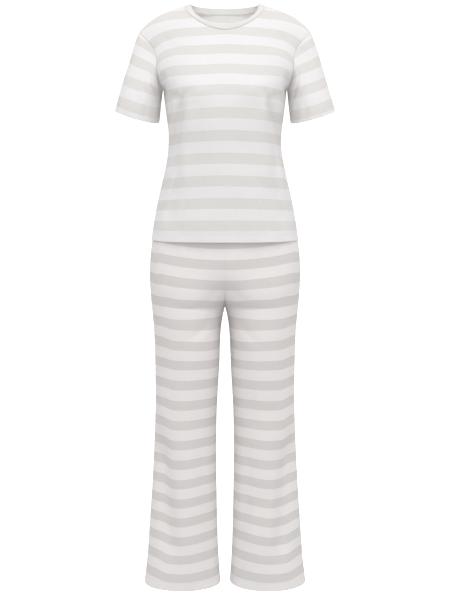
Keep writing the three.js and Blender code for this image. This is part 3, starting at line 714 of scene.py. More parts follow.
def hem_stitches(name, face, normals, from_hem, hem, closed):
    """The two rows of stitches that hold a hem. Each stitch is a short rod of thread that rises out
    of the cloth and dips back into it."""
    share = np.array((-1.0, -0.62, 0.0, 0.62, 1.0))
    swell = np.array((0.15, 0.85, 1.0, 0.85, 0.15)) * STITCH["radius"]
    rise = np.array((-1.6, 0.0, 1.0, 0.0, -1.6)) * STITCH["lift"]
    corners = np.radians((45, 135, 225, 315))
    rods = []
    for below in NEEDLE_ROWS:
        line = at_level(face, from_hem, hem - below)
        out = at_level(normals, from_hem, hem - below)
        if closed:
            line = np.concatenate((line, line[:1]))
            out = np.concatenate((out, out[:1]))
        along = np.concatenate(([0], np.cumsum(span(np.diff(line, axis=0)))))
        count = int(along[-1] / STITCH["pitch"])
        middle = (np.arange(count) + 0.5) * along[-1] / count
        place = middle[:, None] + share * STITCH["length"] / 2
        centre, up = (np.stack([np.interp(place, along, v[:, k]) for k in range(3)], -1) for v in (line, out))
        forward = unit(centre[:, -1:] - centre[:, :1])
        beside = unit(np.cross(up, forward))
        centre = centre + up * rise[:, None]
        ring = up[:, :, None] * np.sin(corners)[:, None] + beside[:, :, None] * np.cos(corners)[:, None]
        rods.append(centre[:, :, None] + ring * swell[:, None, None])
    rods = np.concatenate(rods)
    at = np.arange(rods[..., 0].size).reshape(rods.shape[:3])
    turned = np.roll(at, -1, axis=2)
    sides = np.stack((at[:, :-1], turned[:, :-1], turned[:, 1:], at[:, 1:]), -1).reshape(-1, 4)
    faces = np.concatenate((sides, at[:, 0, ::-1], at[:, -1]))
    return quad_object(name, rods.reshape(-1, 3), faces, None, cotton_thread())


def cloth_object(name, points, normals, outside, inside, uv, closed, material):
    """A wall of cloth round a grid of points: "outside" and "inside" are how far its two faces lie
    from them. A closed grid's last column meets its first."""
    columns, rows = points.shape[:2]
    outer = points + normals * outside[..., None]
    inner = points - normals * inside[..., None]
    vertices = np.concatenate((outer.reshape(-1, 3), inner.reshape(-1, 3)))
    at = np.arange(columns * rows).reshape(columns, rows)
    if closed:
        at = np.concatenate((at, at[:1]))
    back = at + columns * rows

    def quads(a, b):
        return np.stack((a[:-1, :-1], a[1:, :-1], a[1:, 1:], a[:-1, 1:]), -1).reshape(-1, 4)[:, ::b]

    def strip(a, b):
        return np.stack((a[:-1], b[:-1], b[1:], a[1:]), -1).reshape(-1, 4)

    faces = [quads(at, 1), quads(back, -1), strip(at[:, 0], back[:, 0]), strip(back[:, -1], at[:, -1])]
    if not closed:
        faces += [strip(back[0], at[0]), strip(at[-1], back[-1])]
    both = np.concatenate((uv.reshape(-1, 2), uv.reshape(-1, 2)))
    return quad_object(name, vertices, np.concatenate(faces), both, material)


def shade_as(piece, normals, weight):
    """Shades a wall of cloth by the surface's own normals where its faces are too slanted to give them."""
    mesh = piece.data
    shading = np.empty(len(mesh.vertices) * 3, np.float32)
    mesh.vertices.foreach_get("normal", shading)
    shading = shading.reshape(2, *normals.shape)
    for face, way in zip(shading, (1, -1)):
        face += (way * normals - face) * weight[..., None]
    mesh.normals_split_custom_set_from_vertices(unit(shading.reshape(-1, 3)).tolist())


def declare(piece, node):
    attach(piece, "root")
    if node:
        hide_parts(node)


def with_stitches(piece, face, normals, from_hem, hem, closed=False):
    """A cloth piece and the stitches of its hem."""
    stitches = hem_stitches(f"{piece.name}_hem_stitches", face, normals, from_hem, hem, closed)
    declare(stitches, None)
    return piece, stitches


def cloth_uv(points, shift):
    """Distances along the cloth: level and across from its middle column, and up from its hem."""
    across = distances(points * (1, 1, 0), 0)
    up = distances(points * (0, 1, 1), 1)
    return np.stack((across - across[len(points) // 2], up + shift), -1)


# Materials, in metres
STRIPE_WANDER = 0.0007  # how far a band's edge strays with the yarn
STRIPE_BLUR = 0.0005


def linear(hexadecimal):
    """An sRGB hex colour as the linear one that a shader takes."""
    parts = [int(hexadecimal[i : i + 2], 16) / 255 for i in (1, 3, 5)]
    return tuple(c / 12.92 if c <= 0.04045 else ((c + 0.055) / 1.055) ** 2.4 for c in parts) + (1.0,)


def node(tree, kind, inputs=(), **settings):
    """A new node. inputs are pairs of a socket's name or number and its value, or a socket to link."""
    made = tree.nodes.new(kind)
    for name, value in settings.items():
        setattr(made, name, value)
    for key, value in dict(inputs).items():
        if isinstance(value, bpy.types.NodeSocket):
            tree.links.new(value, made.inputs[key])
        else:
            made.inputs[key].default_value = value
    return made


def maths(tree, operation, *values):
    return node(tree, "ShaderNodeMath", enumerate(values), operation=operation).outputs[0]


def new_material(name):
    material = bpy.data.materials.new(name)
    material.use_nodes = True
    tree = material.node_tree
    tree.nodes.clear()
    return material, tree


def ranged(tree, value, to, source=(0.0, 1.0), **settings):
    """A value brought from one range to another."""
    ends = {"From Min": source[0], "From Max": source[1], "To Min": to[0], "To Max": to[1]}
    return node(tree, "ShaderNodeMapRange", {"Value": value, **ends}, **settings).outputs[0]


def noise(tree, scale, detail=2.0):
    spot = node(tree, "ShaderNodeTexCoord").outputs["Object"]
    return node(tree, "ShaderNodeTexNoise", {"Vector": spot, "Scale": scale, "Detail": detail}).outputs[0]


def from_middle(tree, turns):
    """How far a value lies from the middle between two whole numbers."""
    return maths(tree, "ABSOLUTE", maths(tree, "SUBTRACT", maths(tree, "FRACT", turns), 0.5))


def toned(tree, value, colour):
    return node(tree, "ShaderNodeHueSaturation", {"Value": value, "Color": colour}).outputs[0]


def bumped(tree, height, strength, distance):
    inputs = {"Strength": strength, "Distance": distance, "Height": height}
    return node(tree, "ShaderNodeBump", inputs).outputs[0]


def surface(tree, inputs):
    shader = node(tree, "ShaderNodeBsdfPrincipled", inputs)
    node(tree, "ShaderNodeOutputMaterial", {"Surface": shader.outputs[0]})


def knit_height(tree, u, v, wale, course):
    """Height of plain knitting: columns of V-shaped loops, each loop a wale wide and a course high."""
    half = from_middle(tree, maths(tree, "DIVIDE", u, wale))
    lean = maths(tree, "MULTIPLY", half, wale * 1.1)
    up = maths(tree, "DIVIDE", maths(tree, "ADD", v, lean), course)
    loop = maths(tree, "SINE", maths(tree, "MULTIPLY", up, 2 * math.pi))
    leg = maths(tree, "SINE", maths(tree, "MULTIPLY", half, 2 * math.pi))
    return maths(tree, "MULTIPLY", leg, maths(tree, "ADD", 1.6, loop))


def jersey(name, stripes=None, plain=None, wale=0.0012, course=0.0010, strength=0.25):
    """Cotton single jersey, matt: fine columns of knitted loops, a faint nap that lightens its edges,
    and bands of light grey and white that are knitted in, so they show on both faces."""
    material, tree = new_material(name)
    place = node(tree, "ShaderNodeUVMap", uv_map="cloth").outputs[0]
    parts = node(tree, "ShaderNodeSeparateXYZ", {0: place})
    u, v = parts.outputs[0], parts.outputs[1]
    slub = noise(tree, 260.0, 3.0)
    cloudy = noise(tree, 9.0)
    if stripes:
        wander = maths(tree, "MULTIPLY", maths(tree, "SUBTRACT", slub, 0.5), STRIPE_WANDER)
        high = maths(tree, "SUBTRACT", maths(tree, "ADD", v, wander), stripes["first"])
        turns = maths(tree, "ADD", maths(tree, "DIVIDE", high, stripes["pitch"]), 0.5)
        half = stripes["dark"] / stripes["pitch"] / 2
        soft = STRIPE_BLUR / stripes["pitch"]
        band = ranged(
            tree, from_middle(tree, turns), (1.0, 0.0), (half - soft, half + soft),
            interpolation_type="SMOOTHSTEP",
        )
        pair = {0: band, 6: stripes["white"], 7: stripes["grey"]}
        colour = node(tree, "ShaderNodeMix", pair, data_type="RGBA").outputs[2]
    else:
        colour = plain
    uneven = maths(tree, "ADD", maths(tree, "MULTIPLY", slub, 0.045), maths(tree, "MULTIPLY", cloudy, 0.03))
    surface(tree, {
        "Base Color": toned(tree, maths(tree, "ADD", uneven, 0.9625), colour),
        "Roughness": ranged(tree, slub, (0.84, 0.94)),
        "Normal": bumped(tree, knit_height(tree, u, v, wale, course), strength, 0.0004),
        "Specular IOR Level": 0.25, "Sheen Weight": 0.12, "Sheen Roughness": 0.5, "IOR": 1.53,
    })
    return material


def cotton_thread():
    """Spun cotton sewing thread: matt, with a slight sheen from its twist."""
    if "cotton_sewing_thread" in bpy.data.materials:
        return bpy.data.materials["cotton_sewing_thread"]
    material, tree = new_material("cotton_sewing_thread")
    colour = tuple(bpy.context.scene.pyjama_cloth.thread)
    twist = noise(tree, 900.0)
    surface(tree, {
        "Base Color": toned(tree, ranged(tree, twist, (0.92, 1.04)), colour),
        "Roughness": 0.7, "Normal": bumped(tree, twist, 0.3, 0.0002), "Sheen Weight": 0.1,
    })
    return material


def matt_paint(name, colour, glow):
    """A studio floor in matt white paint, lit so evenly that it glows a little, with a roller's mottle."""
    material, tree = new_material(name)
    rough = ranged(tree, noise(tree, 30.0), (0.85, 0.95))
    surface(tree, {
        "Base Color": colour, "Roughness": rough, "Emission Color": colour, "Emission Strength": glow,
    })
    return material


# Pieces

def from_top_edge(points):
    """How far each point of a grid lies from the nearest end of any of its columns."""
    ends = points[:, -1]
    return np.array([span(column[:, None] - ends[None]).min(axis=1) for column in points])


def relief_at_edges(points, top, tone):
    """Seam relief along both sides of a grid. "top" is how strong it is at the upper end of each
    column, or None where nothing is sewn there."""
    up = distances(points, 1)
    across = distances(points, 0)
    back = distances(points, 0, backward=True)
    relief = seam_relief(across, up, tone) + seam_relief(back, up, tone + 2)
    ridge = np.maximum(allowance(across), allowance(back))
    if top is not None:
        away = from_top_edge(points)
        relief += seam_relief(away, across, tone + 4) * top[:, None]
        ridge = np.maximum(ridge, allowance(away))
    return relief, ridge


def hem_inside(from_hem, depth):
    return TURN_UP * (1 - smooth((from_hem - depth) / 1.5))


def hem_outside(from_hem, depth, along, tone):
    """The hem's outer face: drawn in a little along its two rows of stitches, and softly rippled."""
    rows = sum(np.exp(-(((from_hem - depth + offset) / 1.3) ** 2)) for offset in NEEDLE_ROWS)
    roll = sum(high * np.sin(along / long + i * tone) for i, (high, long) in enumerate(HEM_ROLL, 1))
    return -HEM_DRAW * rows + roll * (1 - smooth(from_hem / (2.2 * depth)))


def creases_for(rows, side):
    """A crease table for the right side, 1, or its uneven copy for the left, -1."""
    made = []
    for i, row in enumerate(table(CREASE, rows)):
        if side < 0:
            change = math.sin(2.4 * i + 0.7)
            row = dict(row)
            row["x"] += SIDE_SHIFT["x"] * change
            row["x2"] += SIDE_SHIFT["x"] * math.sin(1.7 * i)
            row["z"] += SIDE_SHIFT["z"] * change
            row["z2"] += SIDE_SHIFT["z"] * math.sin(3.1 * i + 1)
            row["depth"] *= 1 + SIDE_SHIFT["depth"] * math.sin(1.3 * i + 2)
        made.append(row)
    return made


def top_grid(panel, q, is_neck, tau):
    """Points, directions out, heights above the hem and stripe shifts of a right half of the top. Its
    columns run from the hem's places q to the shoulder and to the angles tau round the neck."""
    neck_s, neck_w = neck_seam(panel, tau)
    shoulder_s = neck_s[np.argmax(is_neck)]
    top_s = np.where(is_neck, neck_s, q / SHOULDER_SHARE * shoulder_s)[:, None]
    end = np.where(is_neck, neck_w, panel.top)[:, None]
    body = graded(UNDERARM_W, STEP, end=False)
    rows = np.concatenate((body, UNDERARM_W + graded(panel.top - UNDERARM_W, STEP, start=False)[1:]))
    rows = np.unique(np.concatenate((rows, (TOP_HEM - 0.8, TOP_HEM + 0.8))))
    side_w = rows[None, :]
    shorten = smooth((side_w - TOP_HEM) / NECK_EASE) * (1 - end / panel.top)
    w = np.minimum(side_w * (1 - shorten), end - np.where(side_w == rows[-1], SEAM_GAP / 2, 0))
    s = q[:, None] + (top_s - q[:, None]) * smooth(w / end)
    s = np.clip(s, SEAM_GAP / 2 / HALF_TOP, 1)
    normals = panel.normal(s, w)
    armhole = rows >= UNDERARM_W
    normals[0, armhole] = armhole_seam(panel, rows[armhole])[3]
    normals[is_neck, -1] = neck_rim(panel, s[is_neck, -1], w[is_neck, -1], tau[is_neck])
    return panel.at(s, w), normals, w, top_stripe_shift(s, w)


def top_panel(name, node_name, panel, creases, material, tone):
    """The front or the back of the top."""
    side = graded(HALF_TOP * SHOULDER_SHARE, STEP, end=False) / HALF_TOP
    neck = np.linspace(SHOULDER_SHARE, 1, round(HALF_TOP * (1 - SHOULDER_SHARE) / STEP) + 1)[1:]
    q = np.concatenate((side, neck))
    is_neck = q >= SHOULDER_SHARE - 1e-9
    tau = np.clip((q - SHOULDER_SHARE) / (1 - SHOULDER_SHARE), 0, 1) ** NECK_SPREAD * math.pi / 2
    points, normals, w, shift = top_grid(panel, q, is_neck, tau)
    whole = both_sides(points, flip=True)
    rough = both_sides(normals, flip=True)
    hem_w = both_sides(w)
    uv = cloth_uv(whole, both_sides(shift))
    sewn = both_sides(np.where(is_neck, smooth(tau / 0.6), smooth((SHOULDER_SHARE - q) / 0.06)))
    relief, ridge = relief_at_edges(whole, sewn, tone)
    relief += hem_outside(hem_w, TOP_HEM, uv[..., 0], tone)
    sides = np.minimum(distances(whole, 0), distances(whole, 0, backward=True))
    from_top = distances(whole, 1, backward=True)
    fine = crease_lift(table(CREASE, creases), whole) + ripple(whole[..., 0], whole[..., 2], tone)
    clear = CREASE_CLEAR["top"]
    relief += fine * smooth(sides / clear) * smooth(from_top_edge(whole) / clear)
    faces = unit(rough)
    shaped = whole + faces * relief[..., None]
    from_corner = np.abs(np.arange(len(q)) - np.argmax(is_neck) - 0.5)
    slanted = both_sides(smooth(1.6 - from_corner / 2.5))[:, None] * smooth(from_top / 1.5)
    normals = grid_normals(shaped, False, faces)
    normals = unit(normals + (faces - normals) * slanted[..., None])
    normals[0], normals[-1], normals[:, -1] = rough[0], rough[-1], rough[:, -1]
    edge = rounded(sides, SEAM_RADIUS) * rounded(from_top, SEAM_RADIUS) * rounded(hem_w, HEM_RADIUS)
    outside = JERSEY / 2 * edge
    inside = (JERSEY / 2 + ridge + hem_inside(hem_w, TOP_HEM)) * edge
    piece = cloth_object(name, shaped, normals, outside, inside, uv, False, material)
    shade_as(piece, faces, slanted)
    declare(piece, node_name)
    return with_stitches(piece, shaped + normals * outside[..., None], normals, hem_w, TOP_HEM)


def hermite(start, start_pull, end, end_pull, t):
    t2 = t * t
    t3 = t2 * t
    ends = start * (2 * t3 - 3 * t2 + 1) + end * (3 * t2 - 2 * t3)
    return ends + start_pull * (t3 - 2 * t2 + t) + end_pull * (t3 - t2)


def sleeve_surface(count):
    """The right sleeve's armhole seam and the hermite line of each of its columns."""
    turn = np.arange(2 * count) / count
    share = np.abs(1 - turn)
    w = UNDERARM_W + (top_front.top - UNDERARM_W) * share
    w_back = UNDERARM_W + (top_back.top - UNDERARM_W) * share
    front = armhole_seam(top_front, w)
    back = armhole_seam(top_back, w_back)
    is_front = turn <= 1
    pick = lambda a, b: np.where(is_front.reshape(-1, *([1] * (a.ndim - 1))), a, b)
    psi, point, leave, thick = (pick(a, b) for a, b in zip(front, back))
    centre, across, forward = (np.array(CUFF[k], float) for k in ("centre", "across", "forward"))
    ring = centre + across * np.cos(psi)[:, None] + forward * np.sin(psi)[:, None]
    reach = CUFF_PULL["under"] + (CUFF_PULL["top"] - CUFF_PULL["under"]) * 0.5 * (1 + np.cos(psi))
    pull = np.array(CUFF_PULL["direction"]) * reach[:, None]
    return psi, point, leave, thick, ring, pull


# Creases of a sleeve: the angle round it at both ends in degrees, 0 on top and 90 in front; how far
# from its hem both ends lie, its depth, half width and fade, in millimetres.
SLEEVE_CREASE = ("psi", "up", "psi2", "up2", "depth", "width", "fade")

SLEEVE_CREASES = (
    (150, 66, 96, 120, -2.6, 8, 22),
    (140, 40, 84, 84, -1.8, 8, 22),
    (44, 150, 60, 210, -1.4, 9, 26),
    (20, 190, 6, 240, 1.0, 12, 26),
    (70, 0, 62, 60, 1.2, 12, 26),
    (112, 0, 104, 46, -1.4, 9, 22),
    (-150, 64, -98, 124, -2.4, 8, 22),
    (-120, 20, -86, 90, -1.6, 9, 26),
    (-40, 140, -56, 214, -1.4, 10, 26),
    (-70, 0, -60, 60, 1.0, 12, 26),
    (4, 10, 8, 110, 0.8, 14, 40),
)


def sleeve_rows(reach):
    """How far the rows of a sleeve's column lie from its hem. reach is the armhole's own distance."""
    near = np.array(EDGE)
    body = np.linspace(reach - near[-1], SLEEVE_HEM + 5, 50)
    turn = (SLEEVE_HEM + 0.8, SLEEVE_HEM - 0.8)
    return np.concatenate((reach - near[:-1], body, turn, np.linspace(SLEEVE_HEM - 3, 3, 6), near[-2::-1]))


def sleeve_creases(degrees, up, side):
    """The small creases of a sleeve, uneven from one side to the other."""
    lift = np.zeros(up.shape)
    for i, crease in enumerate(table(SLEEVE_CREASE, SLEEVE_CREASES)):
        wobble = 0 if side > 0 else 7 * math.sin(2.1 * i + 1)
        a, b = crease["psi"] + wobble, crease["psi2"] - wobble
        from_x = np.radians((degrees - a + 180) % 360 - 180) * SLEEVE_RADIUS
        dx, dz = math.radians(b - a) * SLEEVE_RADIUS, crease["up2"] - crease["up"]
        lift += crease_shape(crease, from_x, up - crease["up"], dx, dz)
    return lift


def sleeve(name, node_name, side, material, tone):
    """A set-in short sleeve with its turned-up hem."""
    psi, point, leave, thick, ring, pull = sleeve_surface(SLEEVE_COLUMNS)
    start = (SEAM_GAP / span(leave))[:, None]
    ends = [values[:, None] for values in (point, leave, ring, pull)]
    fine = np.linspace(0, 1, SLEEVE_SAMPLES)
    line = hermite(*ends, (start + (1 - start) * fine)[..., None])
    from_end = distances(line, 1, backward=True)
    up = np.array([sleeve_rows(reach) for reach in from_end[:, 0]])
    share = np.array([np.interp(u, reach[::-1], fine[::-1]) for u, reach in zip(up, from_end)])
    points = hermite(*ends, (start + (1 - start) * share)[..., None])
    normals = grid_normals(points, True, points - np.mean(points, axis=0, keepdims=True))
    degrees = np.degrees(psi)[:, None]
    around_hem = np.radians(degrees) * SLEEVE_RADIUS
    from_seam = from_end[:, :1] - up
    relief = seam_relief(from_seam, np.arange(1, len(psi) + 1)[:, None] * ARMHOLE_STEP, tone)
    relief += hem_outside(up, SLEEVE_HEM, around_hem, tone)
    fine_lift = sleeve_creases(degrees, up, side) + ripple(around_hem, up, tone + side)
    relief += fine_lift * smooth(from_seam / CREASE_CLEAR["sleeve"])
    shaped = points + normals * relief[..., None]
    normals = grid_normals(shaped, True, normals)
    normals[:, 0] = thick
    edge = rounded(from_seam, SEAM_RADIUS) * rounded(up, HEM_RADIUS)
    outside = JERSEY / 2 * edge
    inside = (JERSEY / 2 + allowance(from_seam) + hem_inside(up, SLEEVE_HEM)) * edge
    lower = SLEEVE_STRIPES["right" if side > 0 else "left"]
    dip = SLEEVE_STRIPES["dip"] * np.exp(-from_seam / SLEEVE_STRIPES["dip_reach"])
    uv = np.stack((np.broadcast_to(around_hem, up.shape), up + lower + dip), -1)
    if side < 0:
        shaped, normals = mirrored(shaped), mirrored(normals)
    piece = cloth_object(name, shaped, normals, outside, inside, uv, True, material)
    declare(piece, node_name)
    face = shaped + normals * outside[..., None]
    return with_stitches(piece, face, normals, up, SLEEVE_HEM, closed=True)


def neck_ring(count):
    """The neckband's columns all round: the seam, the free edge, the band's face and its rim."""
    parts = []
    for panel in (top_back, top_front):
        tau = np.linspace(0, math.pi / 2, count + 1)
        s, w = neck_seam(panel, tau)
        seam = panel.at(s, w)
        edge = band_edge(panel.facing, tau)
        rim = neck_rim(panel, s, w, tau)
        face = square_to(rim, edge - seam)
        parts.append((seam, edge, rim, face))
    return [whole_ring(back, front) for back, front in zip(*parts)]


def neckband(name, node_name, material):
    """The neck binding: a strip of jersey folded in half and sewn on along its two raw edges."""
    seam, edge, rim, face = neck_ring(BAND_COLUMNS)
    rise = edge - seam
    share = np.concatenate(((0.0, 0.02, 0.06, 0.12), np.linspace(0.2, 0.86, 7), (0.91, 0.95, 0.98, 1.0)))
    start = (SEAM_GAP / 2 / span(rise))[:, None]
    along = start + (1 - start) * share
    bulge = BAND_BULGE * np.sin(math.pi * share) ** 0.8
    points = seam[:, None] + rise[:, None] * along[..., None] + face[:, None] * bulge[None, :, None]
    normals = np.broadcast_to(face[:, None], points.shape).copy()
    around_neck = distances(points, 0)
    long = span(rise)[:, None]
    from_seam = share * long
    points += normals * (-0.3 * np.exp(-((from_seam / 1.6) ** 2)))[..., None]
    normals = grid_normals(points, True, normals)
    normals[:, 0] = rim
    wall = BAND_WALL / 2 * rounded((1 - share) * long, 1.3) * rounded(from_seam + 0.15, 0.45)
    uv = np.stack((around_neck, np.broadcast_to(from_seam, around_neck.shape)), -1)
    piece = cloth_object(name, points, normals, wall, wall, uv, True, material)
    declare(piece, node_name)
    return piece


def trouser_panel(name, node_name, panel, side, creases, material, tone):
    """One of the four trouser panels, on the right, 1, or the left, -1."""
    crotch = CROTCH_W[panel.facing]
    inset = SEAM_GAP / 2 / HALF_LEG
    s = np.clip(graded(HALF_LEG, STEP) / HALF_LEG, inset, 1 - inset)[:, None]
    leg = graded(crotch, STEP * 1.15, end=False)
    rows = np.concatenate((leg, crotch + graded(panel.top - crotch, STEP, start=False)[1:]))
    rows = np.unique(np.concatenate((rows, (LEG_HEM - 0.8, LEG_HEM + 0.8))))
    w = np.broadcast_to(rows[None, :], (len(s), len(rows)))
    s = np.broadcast_to(s, w.shape)
    points = panel.at(s, w)
    rough = panel.normal(s, w)
    shift = leg_stripe_shift(side, s, w)
    above = rows >= crotch
    inner = np.ones(above.sum())
    up = panel.at(inner, rows[above] + 2) - panel.at(inner, np.maximum(crotch, rows[above] - 2))
    rim = unit(np.stack((np.zeros(len(up)), panel.facing * up[:, 2], -panel.facing * up[:, 1]), -1))
    rim[0] = (0, 0, -1)
    rough[-1, above] = rim
    points[-1, above, 0] = MIDDLE_SEAM_GAP / 2
    points[-1, np.argmax(above), 1] += panel.facing * SEAM_GAP / 2
    relief, ridge = relief_at_edges(points, None, tone)
    across = distances(points, 0)
    uv = np.stack((across, w + shift), -1)
    relief += hem_outside(w, LEG_HEM, across, tone)
    sides = np.minimum(across, distances(points, 0, backward=True))
    fine = crease_lift(creases_for(creases, side), points)
    fine += ripple(points[..., 0] * side, points[..., 2], tone)
    relief += fine * smooth(sides / CREASE_CLEAR["leg"])
    shaped = points + rough * relief[..., None]
    normals = grid_normals(shaped, False, rough)
    normals[0], normals[-1] = rough[0], rough[-1]
    edge = rounded(sides, SEAM_RADIUS) * rounded(w, HEM_RADIUS) * rounded(panel.top - w, SEAM_RADIUS)
    outside = JERSEY / 2 * edge
    inside = (JERSEY / 2 + ridge + hem_inside(w, LEG_HEM)) * edge
    if side < 0:
        shaped, normals = mirrored(shaped), mirrored(normals)
    piece = cloth_object(name, shaped, normals, outside, inside, uv, False, material)
    declare(piece, node_name)
    return with_stitches(piece, shaped + normals * outside[..., None], normals, w, LEG_HEM)


def waistband(name, node_name, material):
    """The waist: a flat elastic inside a jersey casing, which it gathers into fine upright folds."""
    share = np.linspace(0, 1, WAIST_COLUMNS + 1)
    parts = []
    for panel in (leg_back, leg_front):
        top = np.full(len(share), panel.top)
        parts.append((panel.at(share, top), unit(panel.normal(share, top) * (1, 1, 0))))
    base, normal = [whole_ring(back, front) for back, front in zip(*parts)]
    up = graded(WAIST_HEIGHT, 2.0)
    taper = 1 + (WAIST_TAPER - 1) * up / WAIST_HEIGHT
    points = base[:, None] * np.stack((taper, taper, np.ones_like(taper)), -1)[None]
    points[..., 2] = base[:, None, 2] + SEAM_GAP * 2 + up * (1 - SEAM_GAP / WAIST_HEIGHT)
    normals = np.broadcast_to(normal[:, None], points.shape)
    around = distances(points, 0)
    gather = 0.45 * np.sin(around * 2 * math.pi / 7.3) + 0.3 * np.sin(around * 2 * math.pi / 11.9 + up / 9)
    gather *= smooth(up / 4) * smooth((WAIST_HEIGHT - up) / 4)
    wall = WAIST_WALL / 2 * rounded(up, 1.2) * rounded(WAIST_HEIGHT - up, 1.6)
    outside = np.broadcast_to(wall, around.shape) + gather - 0.5
    inside = np.broadcast_to(wall, around.shape) + 0.4 * gather - 0.5
    uv = np.stack((around, np.broadcast_to(up, around.shape)), -1)
    piece = cloth_object(name, points, normals, outside, inside, uv, True, material)
    declare(piece, node_name)
    return piece


# Stage

EYE = (0.0, -3.8, -0.2577)
PITCH_DOWN = 7.353  # degrees
LENS = 88.344  # millimetres on a 36 mm sensor
HEM_Z = -1.512
NECK_LIGHT = (0.0, 0.03, -0.13)
NECK_LIGHT_AIM = (0.0, 0.1, -0.03)


def area_light(name, place, target, size, power):
    data = bpy.data.lights.new(name, "AREA")
    data.shape = "RECTANGLE"
    data.size, data.size_y = size
    data.energy = power
    lamp = bpy.data.objects.new(name, data)
    lamp.location = place
    lamp.rotation_euler = (Vector(target) - Vector(place)).to_track_quat("-Z", "Y").to_euler()
    bpy.context.scene.collection.objects.link(lamp)
    return lamp


def length_field(name, description, default):
    return FloatProperty(
        name=name, description=description, default=default, min=0.002, unit="LENGTH", subtype="DISTANCE"
    )


def power_field(name, description, default):
    return FloatProperty(name=name, description=description, default=default, min=0.0, unit="POWER")


def level_field(name, description, default):
    return FloatProperty(name=name, description=description, default=default, min=0.0, subtype="FACTOR")


def colour_field(name, description, hexadecimal):
    return FloatVectorProperty(
        name=name, description=description, default=linear(hexadecimal), min=0, max=1, size=4, subtype="COLOR"
    )


class PyjamaCloth(bpy.types.PropertyGroup):
    """Stripes and colours of the jersey"""

    top_pitch: length_field("Top stripe repeat", "A grey and a white band of the top together", 0.0564)
    top_grey: length_field("Top grey band", "Height of a grey band of the top", 0.027)
    top_first: length_field(
        "Top first band", "Height of the first grey band's middle above the top's hem", 0.043
    )
    leg_pitch: length_field(
        "Trouser stripe repeat", "A grey and a white band of the trousers together", 0.0516
    )
    leg_grey: length_field("Trouser grey band", "Height of a grey band of the trousers", 0.0245)
    leg_first: length_field(
        "Trouser first band", "Height of the first grey band's middle above the leg's hem", 0.036
    )
    top_grey_colour: colour_field("Top grey", "Colour of the top's grey bands", "#D9D6D3")
    top_white_colour: colour_field("Top white", "Colour of the top's white bands", "#E4E2E2")
    leg_grey_colour: colour_field("Trouser grey", "Colour of the trousers' grey bands", "#D1CDCA")
    leg_white_colour: colour_field("Trouser white", "Colour of the trousers' white bands", "#E3DFDE")
    binding: colour_field("Neck binding", "Colour of the neck binding", "#DEDCD9")
    thread: colour_field("Thread", "Colour of the sewing thread", "#DEDBD9")


class PyjamaStage(bpy.types.PropertyGroup):
    """Floor and lights"""

    floor_drop: length_field("Floor below hems", "How far the floor lies under the trouser hems", 0.28)
    floor_glow: level_field("Floor glow", "How brightly the white floor is lit", 0.75)
    key_power: power_field("Key light", "Power of the soft light from above", 140.0)
    front_power: power_field("Front fill", "Power of the light from the front", 42.0)
    side_power: power_field("Side fill", "Power of the light on each side", 11.0)
    neck_power: power_field("Neck light", "Power of the small light in the neck", 0.125)
    horizon: level_field("Horizon", "Brightness of the room at the horizon", 1.3)
    sky: level_field("Sky", "Brightness of the room above the horizon", 0.72)
    ground: level_field("Ground", "Brightness that the floor throws back", 0.52)


class PYJAMA_OT_stage(bpy.types.Operator):
    """Make the camera, the floor and the lights"""

    bl_idname = "pyjama.stage"
    bl_label = "Stage"

    def execute(self, context):
        sizes = context.scene.pyjama_stage
        bpy.ops.object.select_all(action="DESELECT")
        data = bpy.data.cameras.new("camera")
        data.lens = LENS
        data.sensor_width = 36.0
        camera = bpy.data.objects.new("camera", data)
        camera.location = EYE
        camera.rotation_euler = (math.radians(90 - PITCH_DOWN), 0, 0)
        context.scene.collection.objects.link(camera)
        context.scene.camera = camera

        bpy.ops.mesh.primitive_circle_add(
            vertices=96, radius=14, fill_type="NGON", location=(0, 0, HEM_Z - sizes.floor_drop)
        )
        floor = context.object
        floor.name = "floor"
        floor.data.materials.append(matt_paint("matt_floor_paint", linear("#FAFAFA"), sizes.floor_glow))
        floor.visible_diffuse = False

        target = (0, 0, -0.6)
        area_light("key_light", (0.4, -2.9, 4.9), target, (3.4, 2.6), sizes.key_power)
        area_light("front_fill", (0, -5.2, -1.5), (0, 0, -0.95), (3.0, 2.4), sizes.front_power)
        area_light("left_fill", (-3.6, -2.2, -0.2), target, (1.8, 2.8), sizes.side_power)
        area_light("right_fill", (3.6, -2.2, -0.2), target, (1.8, 2.8), sizes.side_power)
        inner = area_light("neck_light", NECK_LIGHT, NECK_LIGHT_AIM, (0.14, 0.05), sizes.neck_power)
        inner.visible_camera = False

        world = bpy.data.worlds.new("white_room")
        world.use_nodes = True
        tree = world.node_tree
        tree.nodes.clear()
        way = node(tree, "ShaderNodeTexCoord").outputs["Generated"]
        height = node(tree, "ShaderNodeSeparateXYZ", {0: way}).outputs[2]
        above = ranged(tree, height, (sizes.horizon, sizes.sky), (0.09, 0.25))
        below = ranged(tree, height, (sizes.horizon, sizes.ground), (-0.1, -0.22))
        strength = maths(tree, "MINIMUM", above, below)
        back = node(tree, "ShaderNodeBackground", {"Color": (1, 1, 1, 1), "Strength": strength})
        node(tree, "ShaderNodeOutputWorld", {"Surface": back.outputs[0]})
        context.scene.world = world
        context.scene.view_settings.view_transform = "Standard"
        return {"FINISHED"}


def jersey_for(cloth, garment):
    """The striped jersey of the top or the trousers, made once."""
    name = f"cotton_jersey_{garment}"
    if name in bpy.data.materials:
        return bpy.data.materials[name]
    part = "top" if garment == "top" else "leg"
    stripes = {
        "first": getattr(cloth, f"{part}_first"),
        "pitch": getattr(cloth, f"{part}_pitch"),
        "dark": getattr(cloth, f"{part}_grey"),
        "grey": tuple(getattr(cloth, f"{part}_grey_colour")),
        "white": tuple(getattr(cloth, f"{part}_white_colour")),
    }
    return jersey(name, stripes)


